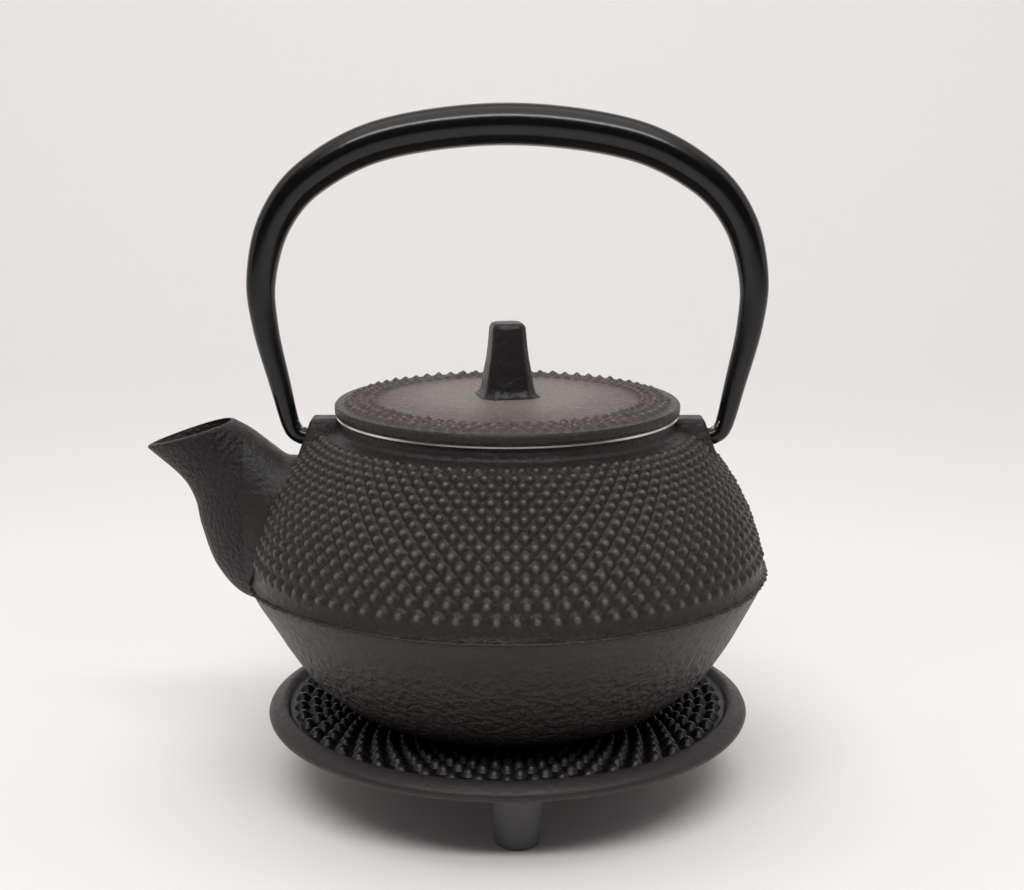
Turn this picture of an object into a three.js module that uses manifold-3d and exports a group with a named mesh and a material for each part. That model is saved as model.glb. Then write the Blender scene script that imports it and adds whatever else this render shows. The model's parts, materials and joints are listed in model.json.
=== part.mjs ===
// Cast-iron teapot with a bail handle, a lid, a stainless infuser basket and a matching trivet.
// Millimetres, +Z up, the floor at z = 0, the spout towards -X, the bail's hinge along X.

import * as THREE from 'three';
import { mergeVertices } from 'three/addons/utils/BufferGeometryUtils.js';
import Module from 'manifold-3d';

const wasm = await Module();
wasm.setup();

// ---- driving dimensions ----

const GAP = 0.3; // clearance between pieces that touch
const ROUND = 48; // sides of the large turned pieces
const SMALL_ROUND = 16; // sides of feet, studs and bores
const TUBE_FACETS = { sides: 14, steps: 60 };
const ROD_FACETS = { sides: 8, steps: 14 };
const SPOUT_FACETS = { sides: 20, steps: 14 };

// trivet
const FOOT = { height: 14, top: 5.5, bottom: 4.85, edge: 0.8, circle: 39, bore: 2.3, boreDepth: 5.1 };
const PEG = { radius: 2, length: 4.5 };
const PLATE = { under: FOOT.height + GAP, floor: 18.7, dish: 49.6, rim: 51, rimTop: 19.2, outer: 54.8 };
const FRONT_FOOT = -Math.PI / 2 + 0.055; // the trivet stands turned a little under the pot
const FOOT_STEP = (2 * Math.PI) / 3;

// pot
const POT = { base: PLATE.floor + GAP, seam: 50, seamRadius: 58.2, collarTop: 84.1, collar: 37.3, mouth: 33 };
const HINGE_Z = 79.3; // the bail turns on the X axis at this height

// ear lugs
const EAR = { top: 83.8, inner: 36.2, outer: 43.6, root: 46.6, rootZ: 74.2, width: 6.6 };
const EAR_BORE = { radius: 2.3, end: 39.6 };

// bail
const BAIL = { legTip: 40.3, leg: 45.2, top: 148.2, endRadius: 1.9, topRadius: 4.55, wall: 0.65 };
const ROD = { radius: 0.9, inset: 0.4, reach: 24 };
const SEAM_SLOT = { x: 46.3, z: 81.6, length: 4, width: 1.8, height: 3 };

// infuser
const FLANGE = { outer: 37.7, z: POT.collarTop + GAP, thickness: 0.7 };
const SKIRT = { outer: 32, inner: 31.5, end: 77 };
const BASKET = { top: 82, bottom: 43.3, topRadius: 31.1, bottomRadius: 29.3, sheet: 0.4 };
const HOOP = { outer: 30.2, inner: 29.7, top: 46.5, bottom: 41.8, lip: 27.4, sheet: 0.5 };

// lid
const LID = { radius: 38.4, under: FLANGE.z + FLANGE.thickness + GAP, edge: 87.5, crown: 88.8, well: 86 };
const LID_RING = { outer: 30.2, inner: 28.2, bottom: 80.6 };
const KNOB = { foot: LID.crown + GAP, top: 105.1, turn: 0.21, chamfer: 0.18 };
const STUD = { radius: 1.9, end: 81.4, bore: 2.2 };
const WASHER = { radius: 4.6, thickness: 0.8 };
const NUT = { radius: 4, thickness: 2.4 };

// ---- materials ----

function material(color, roughness, metalness) {
  return new THREE.MeshStandardMaterial({ color, roughness, metalness });
}

const castIron = () => material(0x3a3735, 0.62, 0.3);
const lacquered = () => material(0x101112, 0.3, 0.4);
const bareSteel = () => material(0x9a958e, 0.5, 1);
const stainless = () => material(0xc8c8c6, 0.25, 1);
const rubber = () => material(0x4a4a4a, 0.8, 0);

// ---- solids ----

function solidOf(geometry) {
  geometry.deleteAttribute('normal');
  geometry.deleteAttribute('uv');
  const merged = mergeVertices(geometry, 1e-4);
  return new wasm.Manifold(new wasm.Mesh({
    numProp: 3,
    vertProperties: new Float32Array(merged.attributes.position.array),
    triVerts: new Uint32Array(merged.index.array),
  }));
}

function geometryOf(solid) {
  const mesh = solid.getMesh();
  const geometry = new THREE.BufferGeometry();
  geometry.setAttribute('position', new THREE.BufferAttribute(mesh.vertProperties, 3));
  geometry.setIndex(new THREE.BufferAttribute(mesh.triVerts, 1));
  geometry.computeVertexNormals();
  return geometry;
}

// a profile of [radius, z] points turned about Z
function turned(profile, sides = ROUND) {
  const points = profile.map(([r, z]) => new THREE.Vector2(r, z));
  return new THREE.LatheGeometry(points, sides).rotateX(Math.PI / 2);
}

// a ring's profile, closed on itself
function turnedRing(profile, sides = ROUND) {
  return turned([...profile, profile[0]], sides);
}

function rod(radius, from, to, sides = SMALL_ROUND) {
  return turned([[0, from], [radius, from], [radius, to], [0, to]], sides);
}

// a capped column of rings, each vertex placed by place(angle, t), t running 0..1 along it
function lofted(place, sides, steps) {
  const geometry = new THREE.CylinderGeometry(1, 1, 1, sides, steps);
  const position = geometry.attributes.position;
  const vertex = new THREE.Vector3();
  for (let i = 0; i < position.count; i++) {
    vertex.fromBufferAttribute(position, i);
    const t = vertex.y + 0.5;
    const angle = Math.atan2(vertex.z, vertex.x);
    const reach = Math.min(1, Math.hypot(vertex.x, vertex.z));
    const moved = place(angle, t, reach);
    position.setXYZ(i, moved.x, moved.y, moved.z);
  }
  const solid = solidOf(geometry);
  return solid.volume() < 0 ? solidOf(flipped(geometry)) : solid;
}

function flipped(geometry) {
  const index = geometry.index.array;
  for (let i = 0; i < index.length; i += 3) {
    [index[i], index[i + 1]] = [index[i + 1], index[i]];
  }
  return geometry;
}

function node(name, geometry, surface) {
  const mesh = new THREE.Mesh(geometry, surface);
  mesh.name = name;
  return mesh;
}

// ---- trivet ----

function trivetPlate() {
  const plate = solidOf(turned([
    [0, PLATE.under],
    [49.8, PLATE.under],
    [53.2, 15.3],
    [54.5, 15.9],
    [PLATE.outer, 17],
    [54, 18.4],
    [52.6, 19.1],
    [PLATE.rim, PLATE.rimTop],
    [PLATE.dish, PLATE.floor],
    [0, PLATE.floor],
  ]));
  return footAngles().reduce((solid, angle) => {
    const peg = rod(PEG.radius, PLATE.under - PEG.length, PLATE.under + 1).translate(...footPlace(angle));
    return solid.add(solidOf(peg));
  }, plate);
}

function footAngles() {
  return [0, 1, 2].map((i) => FRONT_FOOT + i * FOOT_STEP);
}

function footPlace(angle) {
  return [FOOT.circle * Math.cos(angle), FOOT.circle * Math.sin(angle), 0];
}

// a tapered rubber foot with a blind bore pushed over its peg
function trivetFoot() {
  const boreEnd = FOOT.height - FOOT.boreDepth;
  return turned([
    [0, 0],
    [FOOT.bottom - FOOT.edge, 0],
    [FOOT.bottom, FOOT.edge],
    [FOOT.top, FOOT.height],
    [FOOT.bore, FOOT.height],
    [FOOT.bore, boreEnd],
    [0, boreEnd],
  ], SMALL_ROUND);
}

function trivet() {
  const group = new THREE.Group();
  group.add(node('trivet_plate', geometryOf(trivetPlate()), castIron()));
  const names = ['trivet_foot_front', 'trivet_foot_back_right', 'trivet_foot_back_left'];
  footAngles().forEach((angle, i) => {
    const foot = node(names[i], trivetFoot(), rubber());
    foot.position.set(...footPlace(angle));
    group.add(foot);
  });
  return group;
}

// ---- pot: bowl, spout and ears in one casting ----

const OUTER_WALL = [
  [0, POT.base],
  [33, POT.base],
  [34.8, 19.5],
  [37.6, 20.8],
  [40, 22.6],
  [42.8, 25],
  [45.9, 28],
  [50.6, 35],
  [54.3, 42],
  [56.8, 47],
  [57.8, 49.2],
  [POT.seamRadius, POT.seam],
  [57.6, 50.9],
  [56.7, 54],
  [55.3, 59],
  [52.9, 65],
  [49.5, 71],
  [45.1, 77],
  [42.2, 80],
  [40.2, 81.2],
  [37.8, 81.7],
  [POT.collar, 82.3],
  [POT.collar, POT.collarTop],
  [0, POT.collarTop],
];

const CAVITY = [
  [0, 22.3],
  [32, 22.3],
  [33.6, 22.6],
  [35.9, 23.6],
  [37.9, 25.2],
  [40.6, 27.4],
  [43.3, 30],
  [47.4, 36.2],
  [51, 42.2],
  [53.6, 47.4],
  [54.5, 50],
  [53.6, 54],
  [52, 58.6],
  [49.7, 64],
  [46.4, 69.4],
  [42, 74.7],
  [38.4, 77.8],
  [34.2, 79],
  [POT.mouth, 80.2],
  [POT.mouth, POT.collarTop + 1],
  [0, POT.collarTop + 1],
];

// the spout's sections from root to mouth: the lower front point, the upper back point, half the width
const SPOUT = [
  { front: [-50, 39], back: [-44, 73], half: 9 },
  { front: [-59.6, 42.6], back: [-47.2, 74.6], half: 10.6 },
  { front: [-65.9, 49.3], back: [-49.4, 75.2], half: 9.9 },
  { front: [-69.2, 58.7], back: [-52.4, 77.4], half: 8.4 },
  { front: [-70.6, 65], back: [-55, 79.3], half: 7.2 },
  { front: [-73.4, 70.2], back: [-57.8, 81.4], half: 6.3 },
  { front: [-80.6, 76.9], back: [-60.8, 82.9], half: 5.7 },
];

// the pouring channel, from inside the bowl to just past the lip
const CHANNEL = [
  { front: [-44, 47], back: [-42, 66], half: 6.4 },
  { front: [-56, 48], back: [-48.5, 71], half: 7.2 },
  { front: [-62.6, 53.6], back: [-52, 73.6], half: 6.6 },
  { front: [-66, 61.4], back: [-54.8, 76.4], half: 5.6 },
  { front: [-68.6, 67.4], back: [-57.6, 79], half: 4.8 },
  { front: [-72.4, 72.6], back: [-60.4, 81], half: 4.3 },
  { front: [-80.9, 79.2], back: [-62.9, 84.6], half: 3.9 },
];

const LIP_POINT = 0.3; // how much slimmer the section is towards the pouring lip

// a smooth spout through the sections: an oval drawn in towards its front
function spoutSolid(sections) {
  const curve = (pick) => new THREE.CatmullRomCurve3(sections.map(pick), false, 'centripetal');
  const front = curve((s) => new THREE.Vector3(s.front[0], s.half, s.front[1]));
  const back = curve((s) => new THREE.Vector3(s.back[0], s.half, s.back[1]));
  const place = (angle, t, reach) => {
    const low = front.getPoint(t);
    const high = back.getPoint(t);
    const along = Math.cos(angle) * reach;
    const across = Math.sin(angle) * reach * (1 - LIP_POINT * Math.cos(angle));
    const middle = low.clone().lerp(high, (1 - along) / 2);
    middle.y = ((low.y + high.y) / 2) * across;
    return middle;
  };
  return lofted(place, SPOUT_FACETS.sides, SPOUT_FACETS.steps);
}

// an ear lug on the -X (side = -1) or +X (side = 1) shoulder
function earSolid(side) {
  const outline = new THREE.Shape([
    new THREE.Vector2(side * EAR.inner, EAR.top),
    new THREE.Vector2(side * EAR.outer, EAR.top),
    new THREE.Vector2(side * EAR.root, EAR.rootZ),
    new THREE.Vector2(side * 41, 76.2),
    new THREE.Vector2(side * 37, 79.6),
  ]);
  const block = new THREE.ExtrudeGeometry(outline, { depth: EAR.width, bevelEnabled: false });
  return solidOf(block.rotateX(Math.PI / 2).translate(0, EAR.width / 2, 0));
}

function earBore(side) {
  const bore = rod(EAR_BORE.radius, EAR_BORE.end, EAR.root + 4);
  return solidOf(bore.rotateY((side * Math.PI) / 2).translate(0, 0, HINGE_Z));
}

function potSolid() {
  const shell = solidOf(turned(OUTER_WALL)).add(spoutSolid(SPOUT)).add(earSolid(-1)).add(earSolid(1));
  return shell
    .subtract(solidOf(turned(CAVITY)))
    .subtract(spoutSolid(CHANNEL))
    .subtract(earBore(-1))
    .subtract(earBore(1));
}

function pot() {
  const group = new THREE.Group();
  group.add(node('pot_body', geometryOf(potSolid()), castIron()));
  return group;
}

// ---- infuser ----

function infuserRim() {
  const top = FLANGE.z + FLANGE.thickness;
  return turnedRing([
    [FLANGE.outer, FLANGE.z],
    [FLANGE.outer, top],
    [SKIRT.inner, top],
    [SKIRT.inner, SKIRT.end],
    [SKIRT.outer, SKIRT.end],
    [SKIRT.outer, FLANGE.z],
  ]);
}

function infuserWall() {
  return turnedRing([
    [BASKET.bottomRadius, BASKET.bottom],
    [BASKET.topRadius, BASKET.top],
    [BASKET.topRadius - BASKET.sheet, BASKET.top],
    [BASKET.bottomRadius - BASKET.sheet, BASKET.bottom],
  ]);
}

function infuserHoop() {
  return turnedRing([
    [HOOP.lip, HOOP.bottom],
    [HOOP.outer, HOOP.bottom],
    [HOOP.outer, HOOP.top],
    [HOOP.inner, HOOP.top],
    [HOOP.inner, HOOP.bottom + HOOP.sheet],
    [HOOP.lip, HOOP.bottom + HOOP.sheet],
  ]);
}

function infuserFloor() {
  const bottom = HOOP.bottom + HOOP.sheet + GAP;
  return rod(BASKET.bottomRadius - GAP, bottom, bottom + BASKET.sheet, ROUND);
}

function infuser() {
  const group = new THREE.Group();
  group.add(node('infuser_rim', infuserRim(), stainless()));
  group.add(node('infuser_wall', infuserWall(), stainless()));
  group.add(node('infuser_hoop', infuserHoop(), stainless()));
  group.add(node('infuser_floor', infuserFloor(), stainless()));
  return group;
}

// ---- lid ----

function lidPlate() {
  return turnedRing([
    [LID.radius, LID.under],
    [LID.radius, LID.edge - 0.5],
    [LID.radius - 0.5, LID.edge],
    [30, 87.9],
    [18, LID.crown - 0.2],
    [9, LID.crown],
    [STUD.bore, LID.crown],
    [STUD.bore, LID.well],
    [LID_RING.inner, LID.well],
    [LID_RING.inner, LID_RING.bottom],
    [LID_RING.outer, LID_RING.bottom],
    [LID_RING.outer, LID.under],
  ]);
}

// half of the knob's side at each height, from the flared foot to the rounded top
const KNOB_SIDES = [
  [KNOB.foot, 7],
  [KNOB.foot + 0.7, 5.9],
  [92, 5.2],
  [94, 4.95],
  [96, 4.55],
  [100, 4],
  [KNOB.top - 1, 3.7],
  [KNOB.top - 0.3, 3.4],
  [KNOB.top, 2.7],
];

function knobOutline() {
  const cut = 1 - 2 * KNOB.chamfer;
  const corners = [[1, -cut], [1, cut], [cut, 1], [-cut, 1], [-1, cut], [-1, -cut], [-cut, -1], [cut, -1]];
  return corners.map(([x, y]) => new THREE.Vector2(x, y));
}

// a square with cut corners, its side following KNOB_SIDES
function knobSolid() {
  const outline = knobOutline();
  const steps = KNOB_SIDES.length - 1;
  const place = (angle, t, reach) => {
    const [z, half] = KNOB_SIDES[Math.round(t * steps)];
    const corner = Math.round(((angle + 2 * Math.PI) / (2 * Math.PI)) * outline.length) % outline.length;
    const at = outline[corner].clone().multiplyScalar(half * reach);
    at.rotateAround(new THREE.Vector2(), KNOB.turn);
    return new THREE.Vector3(at.x, at.y, z);
  };
  return lofted(place, outline.length, steps).add(solidOf(rod(STUD.radius, STUD.end, KNOB.foot + 1)));
}

function knobWasher() {
  const top = LID.well - GAP;
  return turnedRing([
    [STUD.bore, top],
    [STUD.bore, top - WASHER.thickness],
    [WASHER.radius, top - WASHER.thickness],
    [WASHER.radius, top],
  ], 24);
}

// a hexagonal nut on the knob's stud
function knobNut() {
  const top = LID.well - WASHER.thickness - 2 * GAP;
  const hexagon = rod(NUT.radius, top - NUT.thickness, top, 6);
  return geometryOf(solidOf(hexagon).subtract(solidOf(rod(STUD.bore, top - NUT.thickness - 1, top + 1))));
}

function lid() {
  const group = new THREE.Group();
  group.add(node('lid_plate', lidPlate(), castIron()));
  group.add(node('lid_knob', geometryOf(knobSolid()), castIron()));
  group.add(node('lid_knob_washer', knobWasher(), stainless()));
  group.add(node('lid_knob_nut', knobNut(), stainless()));
  return group;
}

// ---- bail ----

// half of the bail's centre line in the XZ plane, from the tip of its leg to the top
const BAIL_HALF = [
  [BAIL.legTip, HINGE_Z],
  [BAIL.leg, HINGE_Z],
  [48.4, 81.4],
  [50.6, 91],
  [53.5, 104],
  [54.1, 115],
  [50.6, 127.4],
  [42.2, 137.2],
  [26, 145],
];

function bailCurve() {
  const right = BAIL_HALF.map(([x, z]) => new THREE.Vector3(x, 0, z));
  const left = BAIL_HALF.map(([x, z]) => new THREE.Vector3(-x, 0, z)).reverse();
  const points = [...right, new THREE.Vector3(0, 0, BAIL.top), ...left];
  return new THREE.CatmullRomCurve3(points, false, 'centripetal');
}

// the tube thickens evenly from its ends up to the grip
function bailRadius(z) {
  const rise = Math.max(0, (z - HINGE_Z) / (BAIL.top - HINGE_Z));
  return BAIL.endRadius + (BAIL.topRadius - BAIL.endRadius) * rise;
}

// a round bar along a stretch of the bail's centre line
function bailBar(curve, from, to, radiusAt, facets) {
  const place = (angle, t, reach) => {
    const u = from + (to - from) * t;
    const centre = curve.getPointAt(u);
    const tangent = curve.getTangentAt(u);
    const side = new THREE.Vector3(-tangent.z, 0, tangent.x);
    const radius = radiusAt(centre.z) * reach;
    return centre
      .addScaledVector(side, radius * Math.cos(angle))
      .add(new THREE.Vector3(0, radius * Math.sin(angle), 0));
  };
  return lofted(place, facets.sides, facets.steps);
}

function seamSlot(side) {
  const slot = new THREE.BoxGeometry(SEAM_SLOT.length, SEAM_SLOT.width, SEAM_SLOT.height);
  return solidOf(slot.translate(side * SEAM_SLOT.x, 0, SEAM_SLOT.z));
}

// the rolled tube, open at both tips and along its seam inside each bend
function bailTube(curve) {
  const outside = bailBar(curve, 0, 1, bailRadius, TUBE_FACETS);
  const inside = bailBar(curve, 0, 1, (z) => bailRadius(z) - BAIL.wall, TUBE_FACETS);
  const tip = (side) => {
    const bore = rod(BAIL.endRadius - BAIL.wall, BAIL.legTip - 1, BAIL.leg - 1);
    return solidOf(bore.rotateY((side * Math.PI) / 2).translate(0, 0, HINGE_Z));
  };
  const cuts = [inside, tip(1), tip(-1), seamSlot(1), seamSlot(-1)];
  return cuts.reduce((tube, cut) => tube.subtract(cut), outside);
}

// a bent steel rod inside one end of the tube, between two distances from that end
function bailRod(curve, side) {
  const start = ROD.inset / curve.getLength();
  const end = ROD.reach / curve.getLength();
  const [from, to] = side > 0 ? [start, end] : [1 - end, 1 - start];
  return bailBar(curve, from, to, () => ROD.radius, ROD_FACETS);
}

function bail() {
  const group = new THREE.Group();
  const curve = bailCurve();
  group.add(node('bail_tube', geometryOf(bailTube(curve)), lacquered()));
  group.add(node('bail_rod_right', geometryOf(bailRod(curve, 1)), bareSteel()));
  group.add(node('bail_rod_left', geometryOf(bailRod(curve, -1)), bareSteel()));
  return group;
}

// ---- the whole set, its bounding box centred over the origin ----

const teapot = new THREE.Group();
teapot.name = 'teapot_infuser_set';
const parts = new THREE.Group();
parts.add(trivet(), pot(), infuser(), lid(), bail());
parts.position.x = -new THREE.Box3().setFromObject(parts).getCenter(new THREE.Vector3()).x;
teapot.add(parts);

export default teapot;
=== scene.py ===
# %% [markdown]
# # A small cast-iron teapot with an infuser, on its trivet
#
# The set is a hobnailed cast-iron pot with a lid, a rolled steel bail, a stainless infuser basket
# and a matching trivet on rubber feet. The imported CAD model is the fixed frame: it says where
# every piece is, how large it is and how it moves. This script builds the visible pieces over it.

# %% Load the frame
import json
import math

import bmesh
import bpy
import numpy as np
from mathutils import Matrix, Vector, noise


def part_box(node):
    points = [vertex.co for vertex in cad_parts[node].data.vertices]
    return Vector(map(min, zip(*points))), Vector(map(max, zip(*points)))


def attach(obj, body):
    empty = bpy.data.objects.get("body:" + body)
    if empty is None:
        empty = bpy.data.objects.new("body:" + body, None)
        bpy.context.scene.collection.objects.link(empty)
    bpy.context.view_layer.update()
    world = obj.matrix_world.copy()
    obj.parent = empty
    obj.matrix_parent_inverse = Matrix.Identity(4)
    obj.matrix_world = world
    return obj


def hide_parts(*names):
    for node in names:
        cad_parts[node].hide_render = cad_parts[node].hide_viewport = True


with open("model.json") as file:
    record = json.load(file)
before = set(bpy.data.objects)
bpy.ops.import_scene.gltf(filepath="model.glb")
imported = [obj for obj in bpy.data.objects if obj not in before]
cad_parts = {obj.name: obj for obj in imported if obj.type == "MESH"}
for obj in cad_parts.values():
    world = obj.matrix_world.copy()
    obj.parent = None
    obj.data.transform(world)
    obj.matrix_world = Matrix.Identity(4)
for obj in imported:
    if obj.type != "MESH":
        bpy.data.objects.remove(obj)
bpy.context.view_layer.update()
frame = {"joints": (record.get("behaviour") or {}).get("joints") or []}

MM = 0.001

# %% [markdown]
# ## Heights and places
#
# A turned pot has one axis. The lid's box gives it, and the boxes of the neighbours give the
# heights at which pieces meet. Everything is written in millimetres from the table and from that
# axis, and turned into metres where a mesh is made.

# %% The pot's axis and the meeting heights
LID_LOW, LID_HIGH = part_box("lid_plate")
RIM_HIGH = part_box("infuser_rim")[1]
TUBE_LOW, TUBE_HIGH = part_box("bail_tube")
PLATE_LOW, PLATE_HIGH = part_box("trivet_plate")
FOOT_LOW, FOOT_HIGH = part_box("trivet_foot_front")
POT_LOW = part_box("pot_body")[0]
AXIS_X = (LID_LOW.x + LID_HIGH.x) / 2
FLANGE_TOP = RIM_HIGH.z / MM
FLANGE_UNDER = FLANGE_TOP - 0.7  # the pressed edge is 0.7 mm thick
AXIS = Vector((AXIS_X, 0, 0))
HINGE = next(j for j in frame["joints"] if j["name"] == "bail_fold")["pos_m"][2] / MM
print("axis x", round(AXIS_X / MM, 2), "flange top", round(FLANGE_TOP, 2), "hinge", HINGE)


# %% Small helpers for meshes
def new_object(name, verts, faces, smooth=True):
    """A mesh object from points in millimetres about the pot's axis."""
    mesh = bpy.data.meshes.new(name)
    points = np.asarray(verts, float) * MM
    points[:, 0] += AXIS_X
    mesh.from_pydata(points.tolist(), [], [tuple(f) for f in faces])
    mesh.polygons.foreach_set("use_smooth", [smooth] * len(mesh.polygons))
    obj = bpy.data.objects.new(name, mesh)
    bpy.context.scene.collection.objects.link(obj)
    return obj


def triangles(obj):
    """How many triangles an object's mesh has."""
    return sum(len(p.vertices) - 2 for p in obj.data.polygons)


def catmull(points, step=1.0):
    """A smooth line through the points, sampled about every step millimetres."""
    p = np.asarray(points, float)
    if len(p) < 3:
        count = max(1, round(float(np.linalg.norm(p[-1] - p[0])) / step))
        return p[0] + (p[-1] - p[0]) * np.linspace(0, 1, count + 1)[:, None]
    padded = np.vstack([2 * p[0] - p[1], p, 2 * p[-1] - p[-2]])
    line = [p[0]]
    for a, b, c, d in zip(padded, padded[1:], padded[2:], padded[3:]):
        count = max(1, round(float(np.linalg.norm(c - b)) / step))
        for t in np.linspace(0, 1, count + 1)[1:]:
            pull = (c - a) * t + (2 * a - 5 * b + 4 * c - d) * t**2 + (3 * b - a - 3 * c + d) * t**3
            line.append(b + 0.5 * pull)
    return np.array(line)


def outline(*stretches, step=1.0):
    """Joins smooth stretches into one profile, with a corner wherever two of them meet."""
    lines = [catmull(s, step) for s in stretches]
    return np.vstack([lines[0]] + [line[1:] for line in lines[1:]])


def turned(name, profile, sides, warp=None):
    """A solid of turning. Its profile of (radius, height) ends on the axis or closes on itself."""
    ring = np.linspace(0, 2 * math.pi, sides, endpoint=False)
    on_axis = [abs(r) < 1e-6 for r, _ in profile]
    closed = not (on_axis[0] and on_axis[-1])
    rows, verts = [], []
    for (r, z), pole in zip(profile, on_axis):
        start = len(verts)
        if pole:
            verts.append((0, 0, z))
            rows.append([start] * sides)
            continue
        verts += [(r * math.cos(a), r * math.sin(a), z) for a in ring]
        rows.append(list(range(start, start + sides)))
    if closed:
        rows.append(rows[0])
    faces = []
    for low, high in zip(rows, rows[1:]):
        for i in range(sides):
            j = (i + 1) % sides
            corners = [low[i], low[j], high[j], high[i]]
            face = [v for k, v in enumerate(corners) if v not in corners[:k]]
            if len(face) > 2:
                faces.append(face)
    if warp:
        verts = [warp(Vector(v)) for v in verts]
    return outward(new_object(name, verts, faces))


def circle(radius, sides):
    """Points round a circle."""
    turns = [math.tau * i / sides for i in range(sides)]
    return [(radius * math.cos(a), radius * math.sin(a)) for a in turns]


def outward(obj):
    """Turns every face of a closed mesh to the outside."""
    bm = bmesh.new()
    bm.from_mesh(obj.data)
    bmesh.ops.recalc_face_normals(bm, faces=bm.faces)
    bm.to_mesh(obj.data)
    bm.free()
    return obj


def lofted(name, sections, smooth=True):
    """A closed skin over rings of points, all with the same count, with flat ends."""
    count = len(sections[0])
    verts = [tuple(p) for ring in sections for p in ring]
    faces = [list(range(count))[::-1]]
    for k in range(len(sections) - 1):
        for i in range(count):
            j = (i + 1) % count
            faces.append([k * count + i, k * count + j, (k + 1) * count + j, (k + 1) * count + i])
    faces.append([(len(sections) - 1) * count + i for i in range(count)])
    return outward(new_object(name, verts, faces, smooth))


def evaluated(obj, name=None):
    """The object's mesh with its modifiers worked in, as a plain object in its place."""
    graph = bpy.context.evaluated_depsgraph_get()
    mesh = bpy.data.meshes.new_from_object(obj.evaluated_get(graph), depsgraph=graph)
    obj.modifiers.clear()
    obj.data = mesh
    obj.name = name or obj.name
    return obj


def combined(base, other, operation):
    """base joined with, or cut by, another closed mesh, which is used up."""
    cut = base.modifiers.new("combine", "BOOLEAN")
    cut.object = other
    cut.operation = operation
    cut.solver = "EXACT"
    evaluated(base)
    bpy.data.objects.remove(other)
    return base


def joined(name, *pieces):
    """Several meshes as one object, each keeping its own materials."""
    with bpy.context.temp_override(active_object=pieces[0], selected_editable_objects=list(pieces)):
        bpy.ops.object.join()
    pieces[0].name = name
    return pieces[0]


def assign(obj, *materials):
    """Gives an object its materials, every face the first one."""
    obj.data.materials.clear()
    for m in materials:
        obj.data.materials.append(m)
    return obj


def crisp(obj, degrees=38):
    """Smooth shading that stays sharp at edges steeper than the angle."""
    limit = math.radians(degrees)
    bm = bmesh.new()
    bm.from_mesh(obj.data)
    for edge in bm.edges:
        edge.smooth = len(edge.link_faces) == 2 and edge.calc_face_angle(0) < limit
    bm.to_mesh(obj.data)
    bm.free()
    obj.data.polygons.foreach_set("use_smooth", [True] * len(obj.data.polygons))
    return obj


# %% [markdown]
# ## Materials
#
# Every surface starts from what it is and how it was made. One function turns a sRGB hex value
# into linear light, and one adds a shader or geometry node with its settings and links. Pattern
# sizes are real millimetres: a noise texture whose features are about d millimetres has a scale of
# 1000 / d, because Object coordinates are metres.

# %% Colours, nodes and a material to start from
def linear(hex_value):
    """A sRGB hex colour as linear RGBA."""
    parts = [int(hex_value[i:i + 2], 16) / 255 for i in (1, 3, 5)]
    return [c / 12.92 if c <= 0.04045 else ((c + 0.055) / 1.055) ** 2.4 for c in parts] + [1]


def feed(node, inputs):
    """Gives a node its inputs: a socket or a node's first output is linked, a value is set."""
    for key, value in inputs.items():
        if isinstance(value, bpy.types.Node):
            value = value.outputs[0]
        if isinstance(value, bpy.types.NodeSocket):
            node.id_data.links.new(value, node.inputs[key])
        else:
            node.inputs[key].default_value = value
    return node


def put(tree, kind, inputs=None, **settings):
    """Adds one node with its own settings, and gives it its inputs."""
    node = tree.nodes.new(kind)
    for key, value in settings.items():
        setattr(node, key, value)
    return feed(node, inputs or {})


def per_mm(size):
    """The texture scale whose features are about this many millimetres."""
    return 1 / (size * MM)


def surface(name, **shader):
    """A new material, with its tree, its one Principled shader and its Object coordinates."""
    material = bpy.data.materials.new(name)
    material.use_nodes = True
    tree = material.node_tree
    tree.nodes.clear()
    principled = put(tree, "ShaderNodeBsdfPrincipled",
                     {k.replace("_", " "): v for k, v in shader.items()})
    put(tree, "ShaderNodeOutputMaterial", {"Surface": principled})
    place = put(tree, "ShaderNodeTexCoord").outputs["Object"]
    return material, tree, principled, place
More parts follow.
